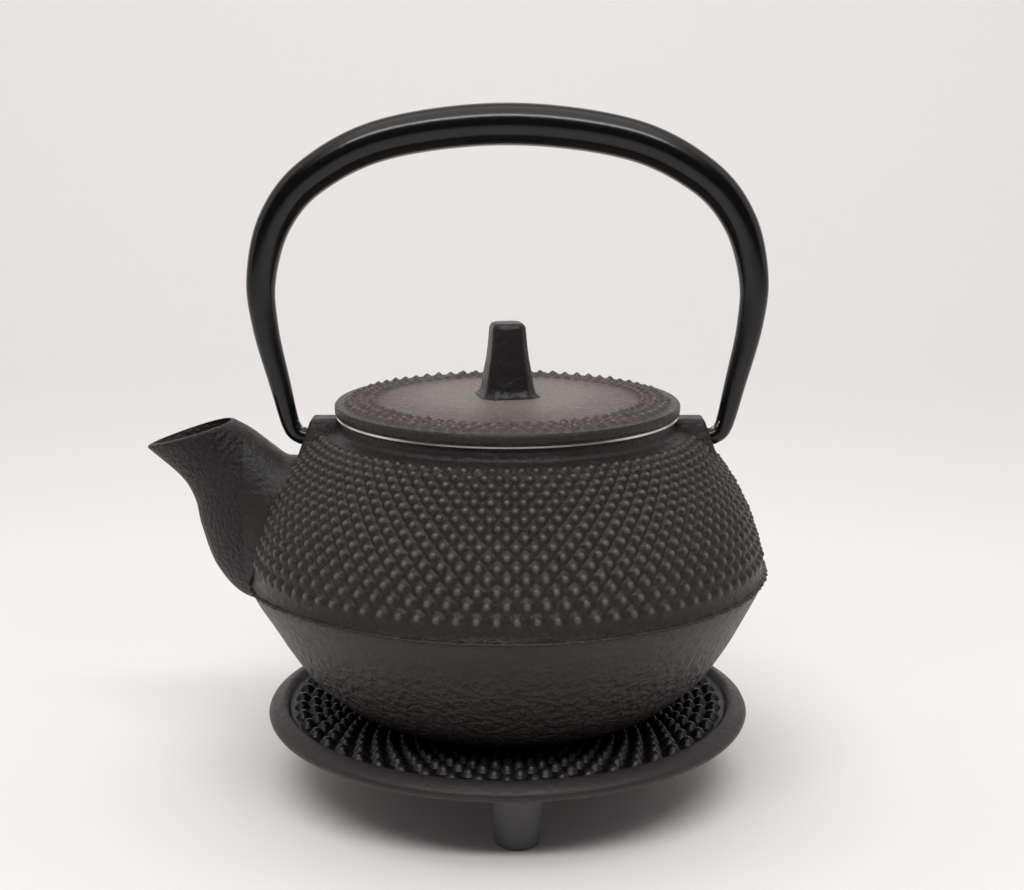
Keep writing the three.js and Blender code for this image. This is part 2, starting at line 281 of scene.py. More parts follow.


# %% [markdown]
# ### Lacquered cast iron
#
# The iron is poured in fine sand and brushed with thin black lacquer. The skin keeps the sand's
# grain, a third of a millimetre across, over softer leathery hollows of one to two millimetres.
# The lacquer breaks up the gloss: it is a little smoother on the high spots and duller in the
# hollows. Hands rub the nails, so their tips, marked by the attribute "tip", are smoother, and
# their paler tone is partly that wear and partly a painted highlight.

# %% The cast skin
def cast_iron(name, dark, light, roughness, grain_depth, hollow_depth, hollow_mm=1.6, grain_mm=0.35,
              shine=0.37, wear_and_glint_tone="#5a5652"):
    """Black lacquer over a sand-cast skin; the depths are in millimetres."""
    material, tree, shader, place = surface(name, Specular_IOR_Level=shine)
    grain = put(tree, "ShaderNodeTexNoise",
                {"Vector": place, "Scale": per_mm(grain_mm), "Detail": 4.0, "Roughness": 0.6})
    hollows = put(tree, "ShaderNodeTexNoise",
                  {"Vector": place, "Scale": per_mm(hollow_mm), "Detail": 3.0, "Roughness": 0.5})
    stain = put(tree, "ShaderNodeTexNoise", {"Vector": place, "Scale": per_mm(14), "Detail": 3.0})
    tint = put(tree, "ShaderNodeMix", {"Factor": stain, "A": linear(dark), "B": linear(light)},
               data_type="RGBA")
    # the paler tone at the nails' tips is partly wear and partly a painted highlight
    tip = put(tree, "ShaderNodeAttribute", attribute_name="tip")
    tip_wear_and_glint = put(tree, "ShaderNodeMapRange",
               {"Value": tip.outputs["Fac"], "From Min": 0.55, "From Max": 1.0})
    rubbed = put(tree, "ShaderNodeMix",
                 {"Factor": tip_wear_and_glint, "A": tint.outputs["Result"], "B": linear(wear_and_glint_tone)},
                 data_type="RGBA")
    gloss = put(tree, "ShaderNodeMapRange",
                {"Value": hollows, "From Min": 0.3, "From Max": 0.7, "To Min": roughness + 0.08,
                 "To Max": roughness - 0.06})
    smoother = put(tree, "ShaderNodeMath", {0: tip_wear_and_glint, 1: -0.14, 2: gloss}, operation="MULTIPLY_ADD")
    deep = put(tree, "ShaderNodeBump",
               {"Height": hollows, "Distance": hollow_depth * MM, "Strength": 1.0})
    fine = put(tree, "ShaderNodeBump",
               {"Height": grain, "Distance": grain_depth * MM, "Strength": 1.0, "Normal": deep})
    feed(shader, {"Base Color": rubbed.outputs["Result"], "Roughness": smoother, "Normal": fine})
    return material


def deeper_downwards(material, top, bottom):
    """Fades the skin's hollows in from one height to a lower one, in millimetres."""
    tree = material.node_tree
    place = put(tree, "ShaderNodeTexCoord").outputs["Object"]
    height = put(tree, "ShaderNodeSeparateXYZ", {0: place})
    share = put(tree, "ShaderNodeMapRange",
                {"Value": height.outputs["Z"], "From Min": top * MM, "From Max": bottom * MM,
                 "To Min": 0.16, "To Max": 1.0}, interpolation_type="SMOOTHSTEP")
    deep = next(n for n in tree.nodes if n.type == "BUMP" and not n.inputs["Normal"].is_linked)
    feed(deep, {"Strength": share})
    return material


def paint_sheen_centre(material, tone, inner, outer):
    """Paints the skin paler inside a mottled border between two radii in millimetres: a painted
    sheen.
    """
    tree = material.node_tree
    shader = next(n for n in tree.nodes if n.type == "BSDF_PRINCIPLED")
    place = put(tree, "ShaderNodeTexCoord").outputs["Object"]
    away = put(tree, "ShaderNodeVectorMath", {0: place, 1: (AXIS_X, 0, 0)}, operation="SUBTRACT")
    flat = put(tree, "ShaderNodeVectorMath", {0: away, 1: (1, 1, 0)}, operation="MULTIPLY")
    radius = put(tree, "ShaderNodeVectorMath", {0: flat}, operation="LENGTH")
    mottle = put(tree, "ShaderNodeTexNoise",
                 {"Vector": place, "Scale": per_mm(3.5), "Detail": 5.0, "Roughness": 0.7})
    ragged = put(tree, "ShaderNodeMath", {0: mottle, 1: 12 * MM, 2: radius.outputs["Value"]},
                 operation="MULTIPLY_ADD")
    share = put(tree, "ShaderNodeMapRange",
                {"Value": ragged, "From Min": (outer + 6) * MM, "From Max": (inner + 6) * MM},
                interpolation_type="SMOOTHSTEP")
    skin = shader.inputs["Base Color"].links[0].from_socket
    tint = put(tree, "ShaderNodeMix", {"Factor": share, "A": skin, "B": linear(tone)},
               data_type="RGBA")
    feed(shader, {"Base Color": tint.outputs["Result"]})
    return material


IRON = cast_iron("cast iron, black lacquer on sand skin", "#1c1a19", "#282523", 0.37, 0.15, 0.4)
IRON_LEATHER = cast_iron("cast iron, leathery sand skin", "#201e1c", "#2c2927", 0.4, 0.16, 2.4, 1.8)
deeper_downwards(IRON_LEATHER, 47, 27)
IRON_SPOUT = cast_iron("cast iron, fine wrinkled skin of the spout", "#171514", "#221f1d", 0.4,
                       0.16, 1.2, 1.0, shine=0.33)
# The lid's top skin is painted lighter than the body's as a painted sheen, and paler still in the
# middle; its coarse bump is the real sand skin.
IRON_LID_SKIN_AND_SHEEN = cast_iron("cast iron, coarse sand skin of the lid", "#433e3a", "#544d49", 0.4, 0.34, 1.2,
                     1.2, 0.5, wear_and_glint_tone="#79726c")
paint_sheen_centre(IRON_LID_SKIN_AND_SHEEN, "#807a74", 10, 34)
IRON_KNOB = cast_iron("cast iron, rubbed smooth", "#141211", "#1c1918", 0.34, 0.1, 0.3, 1.5,
                      shine=0.4)
IRON_TRIVET = cast_iron("cast iron, brushed lacquer of the trivet", "#242221", "#302d2c", 0.46,
                        0.08, 0.15)
# The trivet's dish and its nails are painted darker than the rim: painted shade under the pot.
IRON_DISH_PAINTED_SHADE = cast_iron("cast iron, thick lacquer in the trivet's dish", "#110f0f", "#191716", 0.36,
                      0.05, 0.15, shine=0.33, wear_and_glint_tone="#272422")
print("cast iron skins:", [m.name for m in bpy.data.materials if m.name.startswith("cast iron")])


# %% [markdown]
# ### Enamel, steels and rubber
#
# The pot is lined with glossy black enamel, fused glass with a faint orange peel. The bail is
# rolled steel sheet under satin lacquer. Its ends and the rod inside them are bare steel, scaled
# and wrinkled by the forming. The infuser is bright stainless sheet, and the feet are moulded grey
# rubber.

# %% The other finishes
def grained(name, grain_mm, detail, depth, gloss=None, tones=None, dust=None, strength=1.0,
            **values):
    """A finish with one grain, which gives the bump and, where they are given, the gloss and tones.

    The grain's size and depth are in millimetres. gloss holds the roughness at its low and high
    spots, tones the two colours, and dust the size and detail of another pattern to mix them.
    """
    material, tree, shader, place = surface(name, **values)
    grain = put(tree, "ShaderNodeTexNoise",
                {"Vector": place, "Scale": per_mm(grain_mm), "Detail": detail})
    bump = put(tree, "ShaderNodeBump",
               {"Height": grain, "Distance": depth * MM, "Strength": strength})
    feed(shader, {"Normal": bump})
    if gloss:
        smooth, dull = gloss
        feed(shader, {"Roughness": put(tree, "ShaderNodeMapRange",
                                       {"Value": grain, "To Min": smooth, "To Max": dull})})
    if tones:
        pattern = grain
        if dust:
            pattern = put(tree, "ShaderNodeTexNoise",
                          {"Vector": place, "Scale": per_mm(dust[0]), "Detail": dust[1]})
        tint = put(tree, "ShaderNodeMix",
                   {"Factor": pattern, "A": linear(tones[0]), "B": linear(tones[1])},
                   data_type="RGBA")
        feed(shader, {"Base Color": tint.outputs["Result"]})
    return material


# Vitreous enamel: deep gloss with a slow ripple of about three millimetres.
ENAMEL = grained("vitreous enamel, fused black", 3, 2.0, 0.06, Base_Color=linear("#141313"),
                 Roughness=0.12, Coat_Weight=0.4, Coat_Roughness=0.05)
# Sprayed black lacquer: a smooth satin that draws sharp highlights along the tube.
LACQUER = grained("rolled steel, satin black lacquer", 1.8, 3.0, 0.015, gloss=(0.13, 0.24),
                  Base_Color=linear("#0a0a0b"), Specular_IOR_Level=0.4)
# Bare steel wrinkled by forming: dull grey hollows between bright rubbed folds.
BARE_STEEL = grained("bare steel, wrinkled by rolling", 0.7, 4.0, 0.4, gloss=(0.6, 0.25),
                     tones=("#6b6560", "#e0dbd4"), Metallic=1.0)
# Bright stainless: pressed sheet with fine polishing marks, and drawn wire, a little smoother.
BRIGHT = {"Base_Color": linear("#ededea"), "Metallic": 1.0}
SHEET = grained("stainless steel, pressed bright sheet", 0.6, 3.0, 0.01, gloss=(0.25, 0.38),
                **BRIGHT)
WIRE = grained("stainless steel, woven wire", 0.5, 3.0, 0.01, gloss=(0.23, 0.36), **BRIGHT)
# Moulded rubber: matt, slightly dusty, with a very fine even grain from the mould.
RUBBER = grained("rubber, moulded grey", 0.3, 2.0, 0.03, tones=("#505050", "#616160"),
                 dust=(4, 5.0), Roughness=0.62)
print("finishes:", len(bpy.data.materials))

# %% [markdown]
# ## Cast nails
#
# Arare, the hail pattern, is pressed nail by nail into the clay mould, in rings. Every ring has
# the same count, so the nails get closer towards the top, and each ring is set half a nail on from
# the last. A rule like this suits Geometry Nodes. The tree turns the host's edge line into a
# curve, measures each ring's place along it, and sets one small dome there, square to the surface.
# The lid and the trivet use the same tree with other numbers.

# %% One nail
NAIL_SIDES = 10
# each step from the foot up: the share of the nail's half width, and of its height
POINTED = [(1.0, -0.08), (0.78, 0.14), (0.48, 0.5), (0.22, 0.87)]
BLUNT = [(1.0, -0.08), (0.76, 0.3), (0.55, 0.68), (0.3, 0.93)]


def nail_dome(steps):
    """A soft cone one unit wide and one high, with a flared foot: about forty faces."""
    verts = [(x, y, z) for r, z in steps for x, y in circle(r, NAIL_SIDES)] + [(0, 0, 1.0)]
    faces = []
    for k in range(len(steps) - 1):
        for i in range(NAIL_SIDES):
            j = (i + 1) % NAIL_SIDES
            low, high = k * NAIL_SIDES, (k + 1) * NAIL_SIDES
            faces.append([low + i, low + j, high + j, high + i])
    top = (len(steps) - 1) * NAIL_SIDES
    faces += [[top + i, top + (i + 1) % NAIL_SIDES, len(verts) - 1] for i in range(NAIL_SIDES)]
    mesh = bpy.data.meshes.new("nail")
    mesh.from_pydata(verts, [], faces)
    mesh.polygons.foreach_set("use_smooth", [True] * len(mesh.polygons))
    tip = mesh.attributes.new("tip", "FLOAT", "POINT")
    tip.data.foreach_set("value", [max(0.0, z) for _, _, z in verts])
    return bpy.data.objects.new("nail", mesh)


NAIL = nail_dome(POINTED)
BLUNT_NAIL = nail_dome(BLUNT)
print("one nail has", len(NAIL.data.polygons), "faces")

# %% Helpers for geometry trees
def new_tree(name, inputs):
    """A geometry tree with named inputs, each (label, kind, default), and one for its material."""
    tree = bpy.data.node_groups.new(name, "GeometryNodeTree")
    kinds = [("Geometry", "Geometry", None), *inputs, ("Material", "Material", None)]
    for label, kind, default in kinds:
        socket = tree.interface.new_socket(label, in_out="INPUT", socket_type="NodeSocket" + kind)
        if default is not None:
            socket.default_value = default
    tree.interface.new_socket("Geometry", in_out="OUTPUT", socket_type="NodeSocketGeometry")
    return tree, put(tree, "NodeGroupInput").outputs


def ended(tree, given, geometry):
    """Ends a tree: instances are made real and take the given material."""
    real = put(tree, "GeometryNodeRealizeInstances", {0: geometry})
    painted = put(tree, "GeometryNodeSetMaterial",
                  {"Geometry": real, "Material": given["Material"]})
    put(tree, "NodeGroupOutput", {0: painted})
    return tree


def edges_object(name, lines, closed=False):
    """Several lines of points as one mesh of loose edges, the host of a tree."""
    verts, edges = [], []
    for line in lines:
        start = len(verts)
        verts += [(AXIS_X + x * MM, y * MM, z * MM) for x, y, z in line]
        edges += [(start + i, start + i + 1) for i in range(len(line) - 1)]
        if closed:
            edges.append((start + len(line) - 1, start))
    mesh = bpy.data.meshes.new(name)
    mesh.from_pydata(verts, edges, [])
    obj = bpy.data.objects.new(name, mesh)
    bpy.context.scene.collection.objects.link(obj)
    return obj


def with_tree(host, tree, **values):
    """Runs a geometry tree on its host with named inputs and leaves a plain mesh."""
    modifier = host.modifiers.new(tree.name, "NODES")
    modifier.node_group = tree
    sockets = {s.name: s.identifier for s in tree.interface.items_tree if s.in_out == "INPUT"}
    for label, value in values.items():
        modifier[sockets[label.replace("_", " ")]] = value
    return evaluated(host)


# %% The tree that sets the nails
NAIL_INPUTS = [
    ("Nail", "Object", None),
    ("Nails per ring", "Int", 90),
    ("Rings", "Int", 16),
    ("First rise", "Float", 4.2 * MM),
    ("Last gap", "Float", 1.75 * MM),
    ("Extra gap", "Float", 1.45 * MM),
    ("Gap fade", "Float", 3.2),
    ("Stagger", "Float", 0.5),
    ("Width share", "Float", 0.5),
    ("Height", "Float", 0.75 * MM),
    ("Unevenness", "Float", 0.1),
    ("Axis", "Vector", (0, 0, 0)),
    ("Spout bare half width", "Float", 0.0),
    ("Spout bare half height", "Float", 0.01 * MM),
    ("Spout bare centre", "Float", 0.0),
    ("Ear bare half width", "Float", 0.0),
    ("Ear bare from", "Float", 1.0),
    ("Seed", "Int", 7),
]


def nail_tree():
    """Rings of nails along a turned profile, with bare patches at the spout and the ears."""
    tree, given = new_tree("cast nails", NAIL_INPUTS)
    count = put(tree, "ShaderNodeMath", {0: given["Nails per ring"], 1: given["Rings"]},
                operation="MULTIPLY")
    points = put(tree, "GeometryNodePoints", {"Count": count})
    index = put(tree, "GeometryNodeInputIndex").outputs[0]
    ring_raw = put(tree, "ShaderNodeMath", {0: index, 1: given["Nails per ring"]},
                   operation="DIVIDE")
    ring = put(tree, "ShaderNodeMath", {0: ring_raw}, operation="FLOOR").outputs[0]
    # rise of ring k: first + last gap * k + extra gap * fade * (1 - exp(-k / fade))
    slow = put(tree, "ShaderNodeMath", {0: ring, 1: given["Gap fade"]}, operation="DIVIDE")
    minus = put(tree, "ShaderNodeMath", {0: slow, 1: -1.0}, operation="MULTIPLY")
    decay = put(tree, "ShaderNodeMath", {0: minus}, operation="EXPONENT")
    gained = put(tree, "ShaderNodeMath", {0: 1.0, 1: decay}, operation="SUBTRACT")
    widest = put(tree, "ShaderNodeMath", {0: given["Extra gap"], 1: given["Gap fade"]},
                 operation="MULTIPLY")
    extra = put(tree, "ShaderNodeMath", {0: widest, 1: gained}, operation="MULTIPLY")
    even = put(tree, "ShaderNodeMath", {0: ring, 1: given["Last gap"], 2: extra},
               operation="MULTIPLY_ADD")
    rise = put(tree, "ShaderNodeMath", {0: even, 1: given["First rise"]}, operation="ADD")
    # the place on the profile curve at that rise
    curve = put(tree, "GeometryNodeMeshToCurve", {0: given["Geometry"]})
    sample = put(tree, "GeometryNodeSampleCurve", {"Curves": curve, "Length": rise}, mode="LENGTH",
                 use_all_curves=True)
    # the angle: ring k starts k * stagger nails further on
    start = put(tree, "ShaderNodeMath", {0: ring, 1: given["Stagger"], 2: index},
                operation="MULTIPLY_ADD")
    step = put(tree, "ShaderNodeMath", {0: math.tau, 1: given["Nails per ring"]},
               operation="DIVIDE")
    angle = put(tree, "ShaderNodeMath", {0: start, 1: step}, operation="MULTIPLY")
    place = put(tree, "ShaderNodeVectorRotate",
                {"Vector": sample.outputs["Position"], "Center": given["Axis"], "Angle": angle},
                rotation_type="Z_AXIS")
    # outwards: the tangent turned a quarter turn in the profile's plane, then round the axis
    split = put(tree, "ShaderNodeSeparateXYZ", {0: sample.outputs["Tangent"]})
    back = put(tree, "ShaderNodeMath", {0: split.outputs["X"], 1: -1.0}, operation="MULTIPLY")
    square = put(tree, "ShaderNodeCombineXYZ", {"X": split.outputs["Z"], "Z": back})
    outwards = put(tree, "ShaderNodeVectorRotate", {"Vector": square, "Angle": angle},
                   rotation_type="Z_AXIS")
    facing = put(tree, "FunctionNodeAlignRotationToVector", {"Vector": outwards}, axis="Z")
    # the nail's width follows the ring's pitch
    offset = put(tree, "ShaderNodeVectorMath", {0: sample.outputs["Position"], 1: given["Axis"]},
                 operation="SUBTRACT")
    radius = put(tree, "ShaderNodeSeparateXYZ", {0: offset})
    pitch = put(tree, "ShaderNodeMath", {0: radius.outputs["X"], 1: step}, operation="MULTIPLY")
    width = put(tree, "ShaderNodeMath", {0: pitch, 1: given["Width share"]}, operation="MULTIPLY")
    # bare patches: an ellipse under the spout at -X, a band at each ear
    spot = put(tree, "ShaderNodeVectorMath", {0: place, 1: given["Axis"]}, operation="SUBTRACT")
    at = put(tree, "ShaderNodeSeparateXYZ", {0: spot})
    near = put(tree, "ShaderNodeMath", {0: at.outputs["X"], 1: 0.0}, operation="LESS_THAN")
    across = put(tree, "ShaderNodeMath", {0: at.outputs["Y"], 1: given["Spout bare half width"]},
                 operation="DIVIDE")
    above = put(tree, "ShaderNodeMath", {0: at.outputs["Z"], 1: given["Spout bare centre"]},
                operation="SUBTRACT")
    along = put(tree, "ShaderNodeMath", {0: above, 1: given["Spout bare half height"]},
                operation="DIVIDE")
    across2 = put(tree, "ShaderNodeMath", {0: across, 1: 2.0}, operation="POWER")
    along2 = put(tree, "ShaderNodeMath", {0: along, 1: 2.0}, operation="POWER")
    both = put(tree, "ShaderNodeMath", {0: across2, 1: along2}, operation="ADD")
    clear = put(tree, "ShaderNodeMapRange", {"Value": both, "From Min": 1.0, "From Max": 1.5})
    far = put(tree, "ShaderNodeMath", {0: 1.0, 1: near}, operation="SUBTRACT")
    spout_share = put(tree, "ShaderNodeMath", {0: clear, 1: far}, operation="MAXIMUM")
    aside = put(tree, "ShaderNodeMath", {0: at.outputs["Y"]}, operation="ABSOLUTE")
    ear_edge = put(tree, "ShaderNodeMath", {0: given["Ear bare half width"], 1: 1.3},
                   operation="MULTIPLY")
    beside = put(tree, "ShaderNodeMapRange",
                 {"Value": aside, "From Min": given["Ear bare half width"], "From Max": ear_edge})
    under = put(tree, "ShaderNodeMath", {0: at.outputs["Z"], 1: given["Ear bare from"]},
                operation="LESS_THAN")
    ear_share = put(tree, "ShaderNodeMath", {0: beside, 1: under}, operation="MAXIMUM")
    share = put(tree, "ShaderNodeMath", {0: spout_share, 1: ear_share}, operation="MULTIPLY")
    # every nail differs a little, because each was pressed by hand
    low = put(tree, "ShaderNodeMath", {0: 1.0, 1: given["Unevenness"]}, operation="SUBTRACT")
    high = put(tree, "ShaderNodeMath", {0: 1.0, 1: given["Unevenness"]}, operation="ADD")
    chance = put(tree, "FunctionNodeRandomValue", {"Min": low, "Max": high, "Seed": given["Seed"]},
                 data_type="FLOAT")
    tall = put(tree, "ShaderNodeMath", {0: given["Height"], 1: chance.outputs["Value"]},
               operation="MULTIPLY")
    tall_here = put(tree, "ShaderNodeMath", {0: tall, 1: share}, operation="MULTIPLY")
    size = put(tree, "ShaderNodeCombineXYZ", {"X": width, "Y": width, "Z": tall_here})
    moved = put(tree, "GeometryNodeSetPosition", {"Geometry": points, "Position": place})
    there = put(tree, "FunctionNodeCompare", {0: share, 1: 0.15}, data_type="FLOAT",
                operation="GREATER_THAN")
    nail = put(tree, "GeometryNodeObjectInfo", {"Object": given["Nail"]})
    placed = put(tree, "GeometryNodeInstanceOnPoints",
                 {"Points": moved, "Selection": there, "Instance": nail.outputs["Geometry"],
                  "Rotation": facing, "Scale": size})
    return ended(tree, given, placed)


NAIL_TREE = nail_tree()


def cast_nails(name, line, material, nail=NAIL, **values):
    """Nails along a profile line, in rings measured from its first point."""
    host = edges_object(name, [[(r, 0, z) for r, z in line]])
    nails = with_tree(host, NAIL_TREE, Nail=nail, Material=material, Axis=(AXIS_X, 0, 0), **values)
    print(name, len(nails.data.polygons) // len(NAIL.data.polygons), "nails,", triangles(nails),
          "triangles")
    return nails


# %% [markdown]
# ## The pot
#
# Bowl, spout and ears are one casting. The bowl is a solid of turning: a smooth lower half, a
# parting line at the widest place, where the two halves of the mould met, and a domed shoulder up
# to the collar. The mould's joint dips under the spout, so the turned shape is drawn down a little
# there, and a thin crumbled fin, the flash, stands out along the joint. The spout is a skin over
# ovals, and booleans join it to the bowl and open its channel.

# %% The bowl's profiles
BASE = POT_LOW.z / MM
SEAM = 50.0
COLLAR_TOP = FLANGE_UNDER - 0.1
SEAM_DIP = 3.0
DIP_SPREAD = 0.5  # radians each way from the spout
DIP_DEPTH = 9  # millimetres up and down from the seam
SEAM_RADIUS = 58

SHOULDER = [(57.3, 51), (56.7, 54), (55.3, 59), (52.9, 65), (49.5, 71), (45.1, 77), (42.2, 80),
            (40.2, 81.1), (38, 81.6)]
OUTSIDE = outline(
    [(0, BASE), (33, BASE)],
    [(33, BASE), (34.9, 19.5), (37.6, 20.8), (40, 22.6), (42.8, 25), (45.9, 28), (50.6, 35),
     (54.3, 42), (56.8, 47), (57.8, 49.4)],
    [(57.8, 49.4), (57.9, 49.9), (57.8, 50.3), (57.3, 51)],
    SHOULDER,
    [(38, 81.6), (37.5, 82), (37.3, 82.8)],
    [(37.3, 82.8), (37.3, COLLAR_TOP - 0.4), (36.9, COLLAR_TOP)],
    [(36.9, COLLAR_TOP), (33.4, COLLAR_TOP)],
    [(33.4, COLLAR_TOP), (33, COLLAR_TOP - 0.4), (33, 80.4)],
    [(33, 80.4), (34.2, 79), (38.4, 77.6), (42, 74.6), (46.4, 69.2), (49.7, 63.8), (52, 58.4),
     (53.6, 53.8), (54.4, 50), (53.4, 47), (51, 42), (47.4, 36), (43.3, 30), (40.6, 27.4),
     (37.9, 25.2), (35.9, 23.6), (33.6, 22.6), (32, 22.3)],
    [(32, 22.3), (0, 22.3)],
    step=1.2,
)


def seam_warp(v):
    """Draws the wall down towards the spout's foot, and lets the parting line wander slightly."""
    angle = math.atan2(v.y, v.x)
    off_spout = math.atan2(math.sin(angle - math.pi), math.cos(angle - math.pi))
    near = math.exp(-(off_spout / DIP_SPREAD) ** 2) * math.exp(-((v.z - SEAM) / DIP_DEPTH) ** 2)
    wander = noise.noise(Vector((math.cos(angle) * 4, math.sin(angle) * 4, 0.3)))
    ridge = math.exp(-((v.z - SEAM) / 0.8) ** 2)
    grow = 1 + 0.0022 * wander * ridge * (math.hypot(v.x, v.y) > 50)
    return Vector((v.x * grow, v.y * grow, v.z - SEAM_DIP * near + 0.25 * wander * ridge))


FLASH = [(57.2, 49.45), (58.1, 49.7), (58.45, 49.95), (58.3, 50.25), (57.2, 50.6)]


def flash_warp(v):
    """Crumbles the thin fin that the joint of the two mould halves leaves."""
    angle = math.atan2(v.y, v.x)
    crumb = noise.noise(Vector((math.cos(angle) * SEAM_RADIUS, math.sin(angle) * SEAM_RADIUS, 0.7)))
    grit = noise.noise(Vector((math.cos(angle) * 140, math.sin(angle) * 140, 5.7)))
    out = max(0.0, math.hypot(v.x, v.y) - 57.4)
    grow = 1 + (0.55 * crumb + 0.45 * grit) * out * 0.9 / SEAM_RADIUS
    return seam_warp(Vector((v.x * grow, v.y * grow, v.z + 0.12 * grit)))


BOWL_SIDES = 180
FLASH_SIDES = 900  # fine enough for its crumbs of half a millimetre
bowl = turned("pot_body_cast", OUTSIDE, BOWL_SIDES, seam_warp)
flash = assign(turned("flash", FLASH, FLASH_SIDES, flash_warp), IRON)
print("bowl:", triangles(bowl), "triangles")

# %% [markdown]
# The spout leans forward and flares at both ends. Its section is an oval drawn in at the front,
# which gives the keel underneath and the pouring point. Front line, back line and half width are
# each a smooth curve through a few places, and the channel inside is the same skin with a wall's
# thickness taken off.

# %% The spout and its channel
SPOUT_SIDES = 56
SPOUT_FRONT = [(-48, 40), (-59.4, 42.4), (-65.9, 49.3), (-69.2, 58.7), (-70.5, 65), (-73.4, 70.2),
               (-80.6, 76.8)]
SPOUT_BACK = [(-42, 72), (-46.6, 74.6), (-49.6, 75.1), (-52.5, 77.2), (-55.1, 79.3), (-57.8, 81.3),
              (-60.9, 82.9)]
SPOUT_POINT = 0.26
SPOUT_HALF = [10, 11.2, 9.9, 8.6, 7.6, 7.1, 7.6]
CHANNEL_FRONT = [(-44, 47), (-56, 48), (-62.6, 53.6), (-66, 61.4), (-68.4, 67.2), (-72.2, 72.3),
                 (-80.9, 79)]
CHANNEL_BACK = [(-42, 66), (-48.5, 71), (-52, 73.6), (-54.8, 76.4), (-57.4, 78.8), (-60.2, 80.9),
                (-63.1, 84.6)]
CHANNEL_HALF = [6.4, 7.2, 6.8, 6.0, 5.5, 5.5, 6.3]


def spout_skin(name, front, back, half, point, lip=()):
    """A closed skin from root to mouth: point narrows each oval in front, lip rounds the end."""
    rows = [(*f, *b, h) for f, b, h in zip(front, back, half)]
    sections = []
    for fx, fz, bx, bz, h in catmull(rows, 0.9):
        ring = []
        for i in range(SPOUT_SIDES):
            a = math.tau * i / SPOUT_SIDES
            c = (1 + math.cos(a)) / 2
            y = h * math.sin(a) * (1 - point * math.cos(a))
            ring.append((bx + (fx - bx) * c, y, bz + (fz - bz) * c))
        sections.append(ring)
    mouth = [Vector(p) for p in sections[-1]]
    centre = sum(mouth, Vector()) / SPOUT_SIDES
    out = (centre - sum((Vector(p) for p in sections[-2]), Vector()) / SPOUT_SIDES).normalized()
    for share, rise in lip:
        sections.append([tuple(centre + (p - centre) * share + out * rise) for p in mouth])
    return lofted(name, sections)


# each row: the share of the mouth's width, and how far beyond it
SPOUT_LIP = [(0.985, 0.32), (0.95, 0.6), (0.89, 0.75)]
spout = spout_skin("spout", SPOUT_FRONT, SPOUT_BACK, SPOUT_HALF, SPOUT_POINT, SPOUT_LIP)
channel = spout_skin("channel", CHANNEL_FRONT, CHANNEL_BACK, CHANNEL_HALF, SPOUT_POINT)
print("spout:", triangles(spout), "triangles")

# %% [markdown]
# The ears are plain wedges with a level top and a sloping outer face, cast against the collar. A
# blind bore in each holds the bail's end. Their edges are rounded as sand leaves them.

# %% The ears
EAR_TOP = 83.8
EAR_SIDE = [(36.4, EAR_TOP), (43.7, EAR_TOP), (44.9, 80.5), (46, 77.4), (47, 74.6), (41, 76.2),
            (37, 79.6)]
EAR_HALF = 3.1
EAR_FOOT_HALF = 6.4
EAR_DEPTH = 9.2
BORE_RADIUS = 2.3


def ear(side):
    """A wedge from its side view, spreading towards its foot and rounded along its edges."""
    def half(z):
        return EAR_HALF + (EAR_FOOT_HALF - EAR_HALF) * ((EAR_TOP - z) / EAR_DEPTH) ** 1.5
    rings = [[(side * x, way * half(z), z) for x, z in EAR_SIDE] for way in (-1, 1)]
    block = lofted("ear", rings)
    round_off = block.modifiers.new("round", "BEVEL")
    round_off.width = 0.7 * MM
    round_off.segments = 3
    return evaluated(block)


def bore(side):
    """The blind hole along the hinge line."""
    ring = [(y, HINGE + z) for y, z in circle(BORE_RADIUS, 32)]
    return lofted("bore", [[(side * x, y, z) for y, z in ring] for x in (39.6, 50)])


# %% Join the casting and open its hollows
def paint(obj, slot_of):
    """Chooses each face's slot from its normal and its centre, in millimetres from the axis."""
    for face in obj.data.polygons:
        at = (face.center - AXIS) / MM
        face.material_index = slot_of(at, face.normal)


CAST = (IRON, IRON_LEATHER, ENAMEL, IRON_SPOUT)
pot = combined(assign(bowl, *CAST), assign(spout, IRON), "UNION")
for side in (-1, 1):
    pot = combined(pot, assign(ear(side), IRON), "UNION")
pot = combined(pot, assign(channel, IRON), "DIFFERENCE")
for side in (-1, 1):
    pot = combined(pot, assign(bore(side), IRON), "DIFFERENCE")


SKIN, LEATHER, LINING, WRINKLED = range(len(CAST))
FLOOR_INSIDE = 23  # just above the floor
SPOUT_FROM = -58.5


def pot_finish(at, normal):
    """Enamel inside, leather on the lower bowl, wrinkles on the spout, plain skin elsewhere."""
    radius = math.hypot(at.x, at.y)
    faces_in = normal.x * at.x + normal.y * at.y < 0
    in_bowl = faces_in and at.z < COLLAR_TOP - 0.5 and radius < 55 and abs(at.z - SEAM) < 40
    in_spout_root = radius > 47 and at.x < -46 and at.z > 60
    if at.z < FLOOR_INSIDE and normal.z > 0.5:
        return LINING
    if in_bowl and (radius > 30 or at.z < FLOOR_INSIDE + 1) and not in_spout_root:
        return LINING
    if at.x < SPOUT_FROM and not (at.z < SEAM - 3 and radius < 59):
        return WRINKLED
    return LEATHER if at.z < SEAM and radius > 30 else SKIN


crisp(assign(pot, *CAST), 45)
paint(pot, pot_finish)
print("pot casting:", triangles(pot), "triangles")

# %% [markdown]
# The nails start a few millimetres above the parting line. Sixteen rings of ninety climb to the
# collar, and they stop short of the spout's root and the ears.

